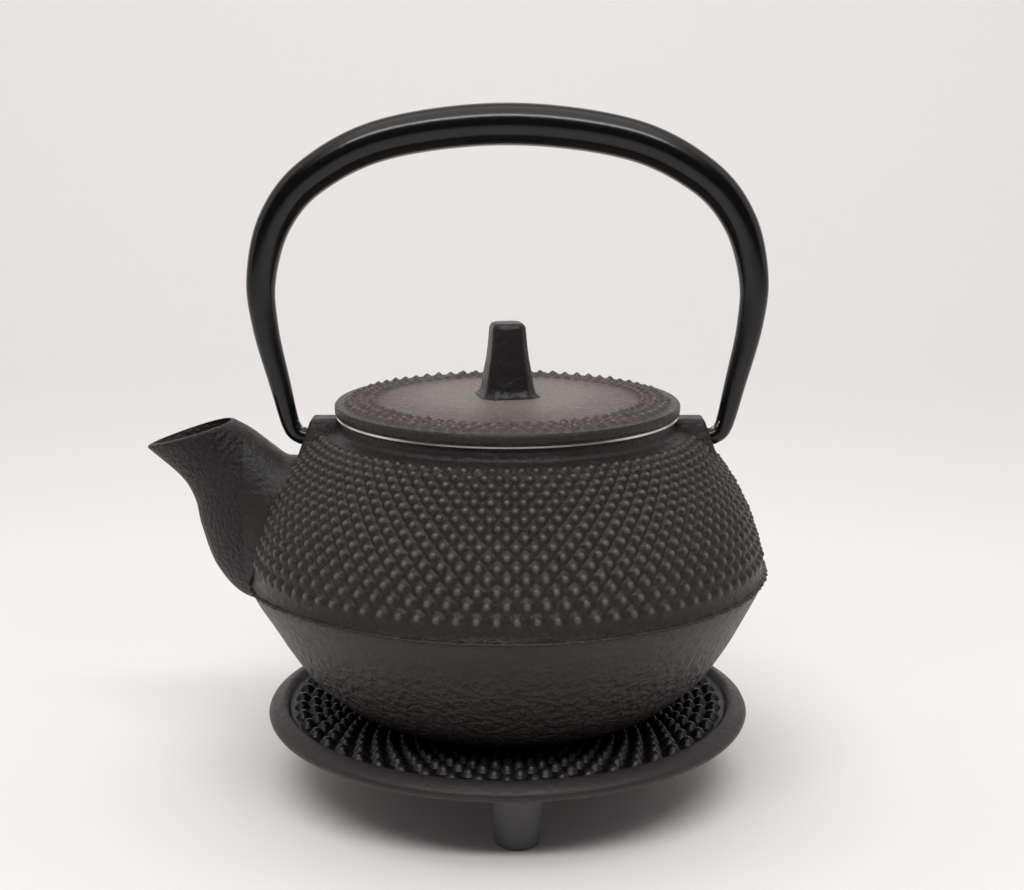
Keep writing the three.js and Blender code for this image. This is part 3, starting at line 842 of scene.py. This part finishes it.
# %% Nails on the pot's shoulder
shoulder_line = catmull(SHOULDER, 0.5)
pot_nails = cast_nails(
    "pot_nails", shoulder_line, IRON,
    Nails_per_ring=90, Rings=16, First_rise=3.2 * MM, Last_gap=1.75 * MM, Extra_gap=1.45 * MM,
    Gap_fade=3.2, Stagger=0.5, Width_share=0.51, Height=0.95 * MM, Unevenness=0.14,
    Spout_bare_half_width=11.4 * MM, Spout_bare_half_height=19 * MM, Spout_bare_centre=58 * MM,
    Ear_bare_half_width=6.2 * MM, Ear_bare_from=74.5 * MM,
)
pot = joined("pot_body_cast", pot, pot_nails, flash)
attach(pot, "pot")
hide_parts("pot_body")
print("pot with nails:", triangles(pot), "triangles")

# %% [markdown]
# ## The trivet
#
# The trivet is a shallow cast dish whose rim has a sloping face. Fifty-two nails stand in each
# ring, staggered like the pot's, so the pot stands on points and little heat goes down. Nearer the
# middle the rings would crowd, so the number of nails halves twice.

# %% The plate and its nails
UNDER = PLATE_LOW.z / MM + 4.5
RIM_TOP = PLATE_HIGH.z / MM
DISH = 17.15
DISH_EDGE = 51
DISH_LINE = [(49.7, DISH + 0.1), (49.2, DISH), (0, DISH)]
PLATE_PROFILE = outline(
    [(0, UNDER), (49.6, UNDER)],
    [(49.6, UNDER), (53, 15.2), (54.3, 15.8), (54.8, 16.8), (54.5, 17.5)],
    [(54.5, 17.5), (53.1, 18.5), (51.7, RIM_TOP - 0.05)],
    [(51.7, RIM_TOP - 0.05), (51.3, RIM_TOP)],
    [(51.3, RIM_TOP), (50.8, RIM_TOP - 0.3), (50.3, 18)],
    [(50.3, 18), (50, 17.5), (49.7, DISH + 0.1)],
    DISH_LINE[:2],
    DISH_LINE[1:],
    step=0.7,
)
plate = turned("trivet_plate_cast", PLATE_PROFILE, 160)
assign(plate, IRON_TRIVET)
heel = ((FOOT_LOW + FOOT_HIGH) / 2 - AXIS) / MM
PEG_TIP = PLATE_LOW.z / MM
PEG = [(1.5, PEG_TIP), (2.0, PEG_TIP + 0.5), (2.0, UNDER + 1)]
reach = math.hypot(heel.x, heel.y)
for third in range(3):
    turn = math.atan2(heel.y, heel.x) + math.tau * third / 3
    x0, y0 = reach * math.cos(turn), reach * math.sin(turn)
    rings = [[(x0 + x, y0 + y, z) for x, y in circle(r, 24)] for r, z in PEG]
    plate = combined(plate, assign(lofted("peg", rings), IRON_TRIVET), "UNION")

# each row: its name, nails per ring, rings, first rise, last gap, extra gap, width share
TRIVET_ROWS = [("outer", 52, 11, 2.0, 1.95, 1.3, 0.35), ("middle", 26, 6, 27.3, 2.2, 0.0, 0.3),
               ("inner", 13, 3, 40.3, 2.2, 0.0, 0.3)]
# the dish's nails take the skin darkened as painted shade under the pot
trivet_nails = [
    cast_nails(f"trivet_nails_{label}", DISH_LINE[1:], IRON_DISH_PAINTED_SHADE, BLUNT_NAIL,
               Nails_per_ring=count, Rings=rings, First_rise=rise * MM, Last_gap=gap * MM,
               Extra_gap=extra * MM, Gap_fade=1.5, Stagger=0.5, Width_share=share,
               Height=1.6 * MM, Unevenness=0.05)
    for label, count, rings, rise, gap, extra, share in TRIVET_ROWS
]
assign(plate, IRON_TRIVET, IRON_DISH_PAINTED_SHADE)


def plate_finish(at, normal):
    """The dish inside the rim takes the darker skin, painted shade under the pot."""
    return int(normal.z > 0.3 and at.z < RIM_TOP - 0.8 and math.hypot(at.x, at.y) < DISH_EDGE)


paint(plate, plate_finish)
plate = joined("trivet_plate_cast", crisp(plate, 50), *trivet_nails)
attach(plate, "trivet")
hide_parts("trivet_plate")
print("trivet plate:", triangles(plate), "triangles")

# %% [markdown]
# Each foot is a moulded rubber cup, pushed over a cast peg. It tapers towards the table and its
# lower edge is well rounded.

# %% The rubber feet
FOOT_PROFILE = outline(
    [(0, 0), (3.9, 0)],
    [(3.9, 0), (4.55, 0.25), (4.85, 1)],
    [(4.85, 1), (5.1, 5), (5.35, 10), (5.5, 14)],
    [(5.5, 14), (2.3, 14)],
    [(2.3, 14), (2.3, 8.9)],
    [(2.3, 8.9), (0, 8.9)],
    step=0.6,
)
for node in ("trivet_foot_front", "trivet_foot_back_left", "trivet_foot_back_right"):
    low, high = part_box(node)
    shift = ((low + high) / 2 - AXIS) / MM
    shift.z = 0
    foot = turned(node + "_moulded", FOOT_PROFILE, 48, lambda v, shift=shift: v + shift)
    assign(crisp(foot, 40), RUBBER)
    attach(foot, "trivet")
    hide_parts(node)
print("feet:", triangles(foot), "triangles each")

# %% [markdown]
# ## The infuser
#
# A flange of pressed sheet rests on the collar and carries a basket of fine stainless mesh, with a
# plain hoop rolled round its foot. Real mesh has about forty wires to the centimetre, too fine to
# show, so the wires here stand 1.25 mm apart. Weaving is a rule, so Geometry Nodes lay the wires:
# each one waves in and out as it passes the others.

# %% The flange and the hoop
FLANGE_PROFILE = outline(
    [(37.1, FLANGE_UNDER - 0.1), (37.5, FLANGE_UNDER + 0.05)],
    [(37.5, FLANGE_UNDER + 0.05), (38.05, FLANGE_UNDER + 0.27)],
    [(38.05, FLANGE_UNDER + 0.27), (37.9, FLANGE_TOP - 0.03)],
    [(37.9, FLANGE_TOP - 0.03), (37.75, FLANGE_TOP)],
    [(37.75, FLANGE_TOP), (32.2, FLANGE_TOP)],
    [(32.2, FLANGE_TOP), (31.7, FLANGE_TOP - 0.2), (31.5, FLANGE_TOP - 0.7), (31.5, 77)],
    [(31.5, 77), (32, 77)],
    [(32, 77), (32, FLANGE_UNDER - 0.5), (32.4, FLANGE_UNDER - 0.05)],
    [(32.4, FLANGE_UNDER - 0.05), (37.1, FLANGE_UNDER - 0.1)],
    step=0.8,
)[:-1]
HOOP_PROFILE = outline(
    [(27.4, 41.8), (29.6, 41.8), (30.1, 42.1), (30.2, 42.8), (30.2, 46.2), (30.0, 46.5)],
    [(30.0, 46.5), (29.7, 46.3), (29.7, 42.6)],
    [(29.7, 42.6), (29.4, 42.3), (27.4, 42.3)],
    [(27.4, 42.3), (27.4, 41.8)],
    step=0.6,
)[:-1]
for name, profile, node in (("infuser_rim_pressed", FLANGE_PROFILE, "infuser_rim"),
                            ("infuser_hoop_rolled", HOOP_PROFILE, "infuser_hoop")):
    piece = crisp(assign(turned(name, profile, 160), SHEET), 40)
    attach(piece, "infuser")
    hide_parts(node)
    print(name, triangles(piece), "triangles")

# %% The tree that turns wires into mesh cloth
def wire_tree():
    """Sweeps a round wire along every edge line of the host."""
    tree, given = new_tree("woven wires",
                           [("Wire radius", "Float", 0.15 * MM), ("Sides", "Int", 5)])
    lines = put(tree, "GeometryNodeMeshToCurve", {0: given["Geometry"]})
    section = put(tree, "GeometryNodeCurvePrimitiveCircle",
                  {"Resolution": given["Sides"], "Radius": given["Wire radius"]})
    swept = put(tree, "GeometryNodeCurveToMesh",
                {"Curve": lines, "Profile Curve": section, "Fill Caps": True})
    round_wire = put(tree, "GeometryNodeSetShadeSmooth", {0: swept})
    return ended(tree, given, round_wire)


WIRE_TREE = wire_tree()
MESH_PITCH = 1.25
WEAVE = 0.16
WOVEN = {"Material": WIRE, "Sides": 4, "Wire_radius": 0.17 * MM}

# %% Weave the wall and the floor
WALL_LOW, WALL_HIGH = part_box("infuser_wall")
WALL_TOP_RADIUS = (WALL_HIGH.x - WALL_LOW.x) / 2 / MM - 0.2
WALL_FOOT_RADIUS = 29.1
WALL_FOOT, WALL_TOP = WALL_LOW.z / MM, WALL_HIGH.z / MM
POSTS = 2 * round(math.pi * WALL_TOP_RADIUS / MESH_PITCH)
HOOPS = round((WALL_TOP - WALL_FOOT) / MESH_PITCH)


def wall_radius(z):
    """The wall tapers evenly towards its foot."""
    share = (z - WALL_FOOT) / (WALL_TOP - WALL_FOOT)
    return WALL_FOOT_RADIUS + (WALL_TOP_RADIUS - WALL_FOOT_RADIUS) * share


def wall_point(post, hoop, inward):
    """Where a post and a hoop cross; one of them is nearer the axis by the weave."""
    z = WALL_FOOT + (hoop + 0.5) * (WALL_TOP - WALL_FOOT) / HOOPS
    r = wall_radius(z) + (WEAVE if (post + hoop) % 2 == inward else -WEAVE)
    a = math.tau * post / POSTS
    return (r * math.cos(a), r * math.sin(a), z)


posts = [[wall_point(p, h, 0) for h in range(HOOPS)] for p in range(POSTS)]
hoops = [[wall_point(p, h, 1) for p in range(POSTS)] for h in range(HOOPS)]
wall = joined(
    "infuser_wall_woven",
    with_tree(edges_object("posts", posts), WIRE_TREE, **WOVEN),
    with_tree(edges_object("hoops", hoops, True), WIRE_TREE, **WOVEN),
)
FLOOR_LOW, FLOOR_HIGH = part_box("infuser_floor")
FLOOR_Z = (FLOOR_LOW.z + FLOOR_HIGH.z) / 2 / MM
FLOOR_RADIUS = (FLOOR_HIGH.x - FLOOR_LOW.x) / 2 / MM
FLOOR_WIRES = int(FLOOR_RADIUS / MESH_PITCH)


def floor_wire(k, along_x):
    """One straight wire of the floor, waving over and under those that cross it."""
    offset = k * MESH_PITCH
    reach = int(math.sqrt(FLOOR_RADIUS**2 - offset**2) / MESH_PITCH)
    points = []
    for i in range(-reach, reach + 1):
        z = FLOOR_Z + (WEAVE if (i + k) % 2 == along_x else -WEAVE)
        points.append((i * MESH_PITCH, offset, z) if along_x else (offset, i * MESH_PITCH, z))
    return points


floor_lines = [floor_wire(k, axis) for axis in (0, 1) for k in range(-FLOOR_WIRES, FLOOR_WIRES + 1)]
floor_lines = [line for line in floor_lines if len(line) > 2]
basket_floor = with_tree(edges_object("infuser_floor_woven", floor_lines), WIRE_TREE, **WOVEN)
for piece, node in ((wall, "infuser_wall"), (basket_floor, "infuser_floor")):
    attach(piece, "infuser")
    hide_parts(node)
    print(piece.name, triangles(piece), "triangles")

# %% [markdown]
# ## The lid
#
# The lid is a thin cast plate with a square edge, three staggered rings of nails inside a smooth
# border, and a coarse sand skin on top, painted lighter than the body as a painted sheen and
# paler still in the middle. A ring under it keeps it centred in the infuser. The knob is cast on
# its own and held by a nut under the lid.

# %% The plate and its nails
LID_UNDER = FLANGE_TOP + 0.06
CROWN = LID_HIGH.z / MM
LID_TOP_LINE = [(38.1, 87.5), (36.5, 87.6), (30, 87.95), (18, CROWN - 0.2), (9, CROWN),
                (2.2, CROWN)]
LID_RING = 30.2
LID_BORDER = 37.8
LID_PROFILE = outline(
    [(37.9, LID_UNDER), (38.3, LID_UNDER + 0.3), (38.4, LID_UNDER + 0.8), (38.42, 87.1),
     (38.1, 87.5)],
    LID_TOP_LINE,
    [(2.2, CROWN), (2.2, 86)],
    [(2.2, 86), (28.2, 86)],
    [(28.2, 86), (28.2, 81), (28.6, 80.6)],
    [(28.6, 80.6), (29.8, 80.6), (LID_RING, 81)],
    [(LID_RING, 81), (LID_RING, LID_UNDER)],
    [(LID_RING, LID_UNDER), (37.9, LID_UNDER)],
    step=0.8,
)[:-1]
# the lid's top faces and its nails take the skin painted lighter as a painted sheen
lid = crisp(assign(turned("lid_plate_cast", LID_PROFILE, 160), IRON, IRON_LID_SKIN_AND_SHEEN, ENAMEL), 45)


def lid_finish(at, normal):
    """Enamel below inside the ring, coarse skin with painted sheen on top inside the border, plain
    skin elsewhere.
    """
    radius = math.hypot(at.x, at.y)
    if normal.z < -0.3 and at.z > 80.7 and radius < LID_RING - 0.2:
        return 2
    return int(normal.z > 0.6 and radius < LID_BORDER)


paint(lid, lid_finish)
lid_line = catmull(LID_TOP_LINE, 0.5)
lid_nails = cast_nails("lid_nails", lid_line, IRON_LID_SKIN_AND_SHEEN, Nails_per_ring=70, Rings=3,
                       First_rise=2.9 * MM, Last_gap=2.6 * MM, Extra_gap=0.0, Stagger=0.5,
                       Width_share=0.5, Height=1.0 * MM, Unevenness=0.12)
lid = joined("lid_plate_cast", lid, lid_nails)
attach(lid, "lid")
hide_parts("lid_plate")
print("lid:", triangles(lid), "triangles")

# %% [markdown]
# The knob is a tapered square bar with cut corners, turned a little from the spout's line. It
# flares into the lid and its top is rounded. A loft through a few sections gives the faces, and a
# bevel softens every edge as lacquer does.

# %% The knob
KNOB_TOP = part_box("lid_knob")[1].z / MM
KNOB_TURN = 0.21
KNOB_CUT = 0.36
KNOB_SIDES = [(CROWN - 0.05, 6.9), (CROWN + 0.25, 6.25), (CROWN + 0.9, 5.75), (CROWN + 2.2, 5.35),
              (94, 4.95), (97, 4.4), (100, 4.05), (KNOB_TOP - 1.1, 3.72), (KNOB_TOP - 0.5, 3.5),
              (KNOB_TOP - 0.12, 3.0), (KNOB_TOP, 2.3)]


def knob_ring(z, half):
    """A square with cut corners, the cut a fixed share of the side."""
    cut = 1 - KNOB_CUT
    corners = [(1, -cut), (1, cut), (cut, 1), (-cut, 1), (-1, cut), (-1, -cut), (-cut, -1),
               (cut, -1)]
    c, s = math.cos(KNOB_TURN), math.sin(KNOB_TURN)
    return [(half * (x * c - y * s), half * (x * s + y * c), z) for x, y in corners]


knob = lofted("lid_knob_cast", [knob_ring(z, half) for z, half in KNOB_SIDES])
soften = knob.modifiers.new("soften", "BEVEL")
soften.width = 0.55 * MM
soften.segments = 4
soften.limit_method = "ANGLE"
soften.angle_limit = math.radians(28)
knob = evaluated(knob)
STUD_PROFILE = outline([(0, 81.4), (1.5, 81.4)], [(1.5, 81.4), (1.9, 81.8)],
                       [(1.9, 81.8), (1.9, CROWN + 1)], [(1.9, CROWN + 1), (0, CROWN + 1)],
                       step=1.0)
knob = combined(assign(knob, IRON_KNOB), assign(turned("stud", STUD_PROFILE, 32), IRON_KNOB),
                "UNION")
crisp(knob, 55)
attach(knob, "lid")
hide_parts("lid_knob")
print("knob:", triangles(knob), "triangles")

# %% [markdown]
# Under the lid a plain washer and a hexagon nut hold the stud. The nut's corners are chamfered by
# the turning that faced it.

# %% The washer and the nut
WASHER_LOW, WASHER_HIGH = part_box("lid_knob_washer")
NUT_LOW, NUT_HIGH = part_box("lid_knob_nut")
w0, w1 = WASHER_LOW.z / MM, WASHER_HIGH.z / MM
WASHER_PROFILE = outline([(2.2, w0), (4.4, w0)],
                         [(4.4, w0), (4.6, w0 + 0.2), (4.6, w1 - 0.2), (4.4, w1)],
                         [(4.4, w1), (2.2, w1)], [(2.2, w1), (2.2, w0)], step=0.5)[:-1]
washer = crisp(assign(turned("lid_knob_washer_stamped", WASHER_PROFILE, 48), SHEET), 40)
n0, n1 = NUT_LOW.z / MM, NUT_HIGH.z / MM
nut = lofted("lid_knob_nut_turned", [[(x, y, z) for x, y in circle(4, 6)] for z in (n0, n1)])
NUT_CONE = outline([(0, n0), (3.4, n0)], [(3.4, n0), (4.1, n0 + 0.45)],
                   [(4.1, n0 + 0.45), (4.1, n1 - 0.45)], [(4.1, n1 - 0.45), (3.4, n1)],
                   [(3.4, n1), (0, n1)], step=1.0)
nut = combined(nut, turned("cone", NUT_CONE, 48), "INTERSECT")
hole = [[(x, y, z) for x, y in circle(2.2, 32)] for z in (n0 - 1, n1 + 1)]
nut = crisp(assign(combined(nut, lofted("hole", hole), "DIFFERENCE"), SHEET), 30)
for piece, node in ((washer, "lid_knob_washer"), (nut, "lid_knob_nut")):
    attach(piece, "lid")
    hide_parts(node)
print("washer and nut:", triangles(washer) + triangles(nut), "triangles")

# %% [markdown]
# ## The bail
#
# The bail is steel sheet rolled into a long tapered tube, thick at the grip and thin at the ends,
# and bent into an arch. At each end the seam gapes where it was bent inwards, and a bare rod shows
# in it. A tube with a changing radius is a curve swept by a circle, so Geometry Nodes make it, and
# the same tree makes its hollow and the rods.

# %% The tree that sweeps a tapered tube
def taper_tree():
    """A tube along the host's edge line, its radius growing evenly with height, less a wall."""
    tree, given = new_tree("tapered tube", [
        ("End radius", "Float", 1.9 * MM), ("Top radius", "Float", 0.0),
        ("End height", "Float", 0.0), ("Top height", "Float", 1.0), ("Less wall", "Float", 0.0),
        ("Sides", "Int", 40),
    ])
    at = put(tree, "ShaderNodeSeparateXYZ", {0: put(tree, "GeometryNodeInputPosition")})
    radius = put(tree, "ShaderNodeMapRange",
                 {"Value": at.outputs["Z"], "From Min": given["End height"],
                  "From Max": given["Top height"], "To Min": given["End radius"],
                  "To Max": given["Top radius"]})
    bare = put(tree, "ShaderNodeMath", {0: radius, 1: given["Less wall"]}, operation="SUBTRACT")
    line = put(tree, "GeometryNodeMeshToCurve", {0: given["Geometry"]})
    sized = put(tree, "GeometryNodeSetCurveRadius", {"Curve": line, "Radius": bare})
    section = put(tree, "GeometryNodeCurvePrimitiveCircle",
                  {"Resolution": given["Sides"], "Radius": 1.0})
    swept = put(tree, "GeometryNodeCurveToMesh",
                {"Curve": sized, "Profile Curve": section,
                 "Scale": put(tree, "GeometryNodeInputRadius"), "Fill Caps": True})
    smooth = put(tree, "GeometryNodeSetShadeSmooth", {0: swept})
    return ended(tree, given, smooth)


TAPER_TREE = taper_tree()

# %% The bail's line
TUBE_TOP_RADIUS = (TUBE_HIGH.y - TUBE_LOW.y) / 2 / MM
ARCH_TOP = TUBE_HIGH.z / MM - TUBE_TOP_RADIUS
LEG_TIP = 40.4
HALF_LINE = [(LEG_TIP, HINGE), (44.9, HINGE), (46.9, 79.9), (48.5, 82.2), (50.6, 91), (53.5, 104),
             (54.1, 115), (50.6, 127.4), (42.2, 137.2), (26, 145)]
arch_points = HALF_LINE + [(0, ARCH_TOP)] + [(-x, z) for x, z in reversed(HALF_LINE)]
arch = [(x, 0, z) for x, z in catmull(arch_points, 1.0)]


def bail_sweep(name, line, end_radius, top_radius, less, material, sides=40):
    """A closed tube from the taper tree."""
    return outward(with_tree(edges_object(name, [line]), TAPER_TREE, End_radius=end_radius * MM,
                             Top_radius=top_radius * MM, End_height=HINGE * MM,
                             Top_height=ARCH_TOP * MM, Less_wall=less * MM, Sides=sides,
                             Material=material))


# %% The tube, open at its tips and along the seam in each bend
WALL = 0.65
TIP_RADIUS = 1.9
tube = bail_sweep("bail_tube_rolled", arch, TIP_RADIUS, TUBE_TOP_RADIUS, 0, LACQUER)
longer = [(arch[0][0] - 1, 0, HINGE)] + arch + [(-arch[0][0] + 1, 0, HINGE)]
hollow = bail_sweep("hollow", longer, TIP_RADIUS, TUBE_TOP_RADIUS, WALL, BARE_STEEL)
tube = combined(tube, hollow, "DIFFERENCE")


def seam_gap(side):
    """A slot along the inside of the bend, its edges torn by the bending."""
    steps = catmull([(43.6, 81.6), (45.6, 81.6), (46.7, 82.6), (47.3, 85.2)], 0.5)
    rings = []
    for k, (x, z) in enumerate(steps):
        ragged = 1 + 0.35 * noise.noise(Vector((k * 0.9, side * 3.0, 0)))
        half = 0.95 * ragged * math.sin(math.pi * (k + 0.6) / (len(steps) + 0.2)) ** 0.4
        rings.append([(side * (x + 1.6 * dx), half * dy, z - 1.6 * abs(dx)) for dx, dy in
                      ((0.0, -1), (0.55, -1), (0.55, 1), (0.0, 1))])
    return lofted("gap", rings, smooth=False)


for side in (-1, 1):
    tube = combined(tube, assign(seam_gap(side), BARE_STEEL), "DIFFERENCE")
crisp(tube, 45)
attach(tube, "bail")
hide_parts("bail_tube")
print("bail tube:", triangles(tube), "triangles")

# %% [markdown]
# The rod in each end was upset when the tube was closed on it, so it is lumpy and bulges out of
# the open seam. It is the same sweep with a little noise pushed through its skin. Beside the ear
# the lumps stay inside the bore's radius, so that the bail still folds.

# %% The bare rods
def rod_reach(side):
    """The part of the arch that the rod fills, from just inside the tip."""
    line = [(x, 0, z) for x, z in catmull(arch_points, 0.4) if x * side > 0 and z < 95]
    return line if side > 0 else line[::-1]


ROD_RADIUS = 1.15
BEND_AT = 46.2
EAR_CLEAR = 46.6
BORE_CLEAR = 2.15
for side, node in ((1, "bail_rod_right"), (-1, "bail_rod_left")):
    rod = bail_sweep(node + "_bare", rod_reach(side)[2:], ROD_RADIUS, ROD_RADIUS, 0, BARE_STEEL, 28)
    for v in rod.data.vertices:
        at = v.co / MM - AXIS / MM
        above = max(0, min(1, (at.z - HINGE + 0.6) / 1.2))
        bend = math.exp(-((abs(at.x) - BEND_AT) / 2.0) ** 2) * above
        inner = max(0.0, v.normal.dot(Vector((-0.6 * side, 0, 0.8))))
        lump = noise.noise(at * 1.1) + 0.8 * noise.noise(at * 2.4)
        at += v.normal * bend * (0.5 + 1.2 * inner + (0.5 + 0.6 * inner) * lump)
        arm = math.hypot(at.y, at.z - HINGE)
        if abs(at.x) < EAR_CLEAR and arm > BORE_CLEAR:
            at = Vector((at.x, at.y * BORE_CLEAR / arm, HINGE + (at.z - HINGE) * BORE_CLEAR / arm))
        v.co = at * MM + AXIS
    assign(rod, BARE_STEEL)
    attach(rod, "bail")
    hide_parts(node)
    print(rod.name, triangles(rod), "triangles")

# %% [markdown]
# ## The studio
#
# A pale sweep of paper rises behind the trivet at about sixty degrees. A long strip softbox before
# and above the pot draws the highlights along the bail and the nails, a square one lights the
# paper behind, and a pale room does the rest. The room is dim low down before the pot, where the
# eye is, so that the black iron stays dark.

# %% The paper sweep
def paper(name, tone):
    """Matt paper with the faintest fibre, clear from behind, so the set shows from every side."""
    material = grained(name, 2, 4.0, 0.02, strength=0.5, Base_Color=linear(tone), Roughness=0.9)
    tree = material.node_tree
    shader, output = (next(n for n in tree.nodes if n.type == kind)
                      for kind in ("BSDF_PRINCIPLED", "OUTPUT_MATERIAL"))
    behind = put(tree, "ShaderNodeNewGeometry").outputs["Backfacing"]
    clear = put(tree, "ShaderNodeBsdfTransparent")
    feed(output, {"Surface": put(tree, "ShaderNodeMixShader", {0: behind, 1: shader, 2: clear})})
    return material


SWEEP_RISE = math.radians(62)
SWEEP_FROM, SWEEP_BEND, SWEEP_RADIUS = -2000, 180, 90
SWEEP_REACH, SWEEP_HALF = 2400, 2500
sweep_line = [(SWEEP_FROM, 0)] + [
    (SWEEP_BEND + SWEEP_RADIUS * math.sin(a), SWEEP_RADIUS - SWEEP_RADIUS * math.cos(a))
    for a in np.linspace(0, SWEEP_RISE, 16)]
WALL_Y, WALL_Z = sweep_line[-1]
sweep_line.append((WALL_Y + SWEEP_REACH * math.cos(SWEEP_RISE),
                   WALL_Z + SWEEP_REACH * math.sin(SWEEP_RISE)))
sweep_verts = [(x, y, z) for y, z in sweep_line for x in (-SWEEP_HALF, SWEEP_HALF)]
sweep_faces = [[2 * i, 2 * i + 1, 2 * i + 3, 2 * i + 2] for i in range(len(sweep_line) - 1)]
sweep = assign(new_object("paper_sweep", sweep_verts, sweep_faces),
               paper("paper, pale matt", "#f3f0ef"))

# %% The lights
def soft_light(name, width, depth, power, place, aim):
    """A softbox aimed at a point; sizes in millimetres, power in watts."""
    data = bpy.data.lights.new(name, "AREA")
    data.shape = "RECTANGLE"
    data.size = width * MM
    data.size_y = depth * MM
    data.energy = power
    light = bpy.data.objects.new(name, data)
    light.location = Vector(place) * MM
    light.rotation_euler = (Vector(aim) - Vector(place)).to_track_quat("-Z", "Y").to_euler()
    bpy.context.scene.collection.objects.link(light)


soft_light("strip softbox before and above", 900, 130, 3.7, (0, -500, 780), (0, 0, 60))
soft_light("light on the paper behind", 700, 700, 1.2, (0, 0, 650), (0, 270, 300))


def pale_room():
    """Light from above, behind and the sides, with the space low down before the pot left dim."""
    world = bpy.data.worlds.new("pale room")
    world.use_nodes = True
    tree = world.node_tree
    whole = put(tree, "ShaderNodeTexCoord").outputs["Generated"]
    way = put(tree, "ShaderNodeSeparateXYZ", {0: whole})
    before = put(tree, "ShaderNodeMapRange",
                 {"Value": way.outputs["Y"], "From Min": 0.1, "From Max": -0.35},
                 interpolation_type="SMOOTHSTEP")
    low = put(tree, "ShaderNodeMapRange",
              {"Value": way.outputs["Z"], "From Min": 0.9, "From Max": 0.6},
              interpolation_type="SMOOTHSTEP")
    dim = put(tree, "ShaderNodeMath", {0: before, 1: low}, operation="MULTIPLY")
    level = put(tree, "ShaderNodeMapRange", {"Value": dim, "To Min": 0.95, "To Max": 0.05})
    feed(tree.nodes["Background"], {"Color": linear("#f4f2f1"), "Strength": level})
    return world


world = pale_room()
bpy.context.scene.world = world
bpy.context.scene.view_settings.view_transform = "Standard"

# %% [markdown]
# ## The camera
#
# The camera stands a forearm's length away and looks down by twelve degrees, from a little above
# the lid. A lens of 58 mm on a 36 mm frame keeps the pot's ellipses as open as the eye sees them
# from there.

# %% The camera
camera_data = bpy.data.cameras.new("camera")
camera_data.sensor_width = 36
camera_data.lens = 57.8
camera_data.clip_end = 20
camera = bpy.data.objects.new("camera", camera_data)
camera.location = (AXIS_X + 1.0 * MM, -361 * MM, 154.4 * MM)
camera.rotation_euler = (math.radians(90 - 12.05), 0, 0)
bpy.context.scene.collection.objects.link(camera)
bpy.context.scene.camera = camera
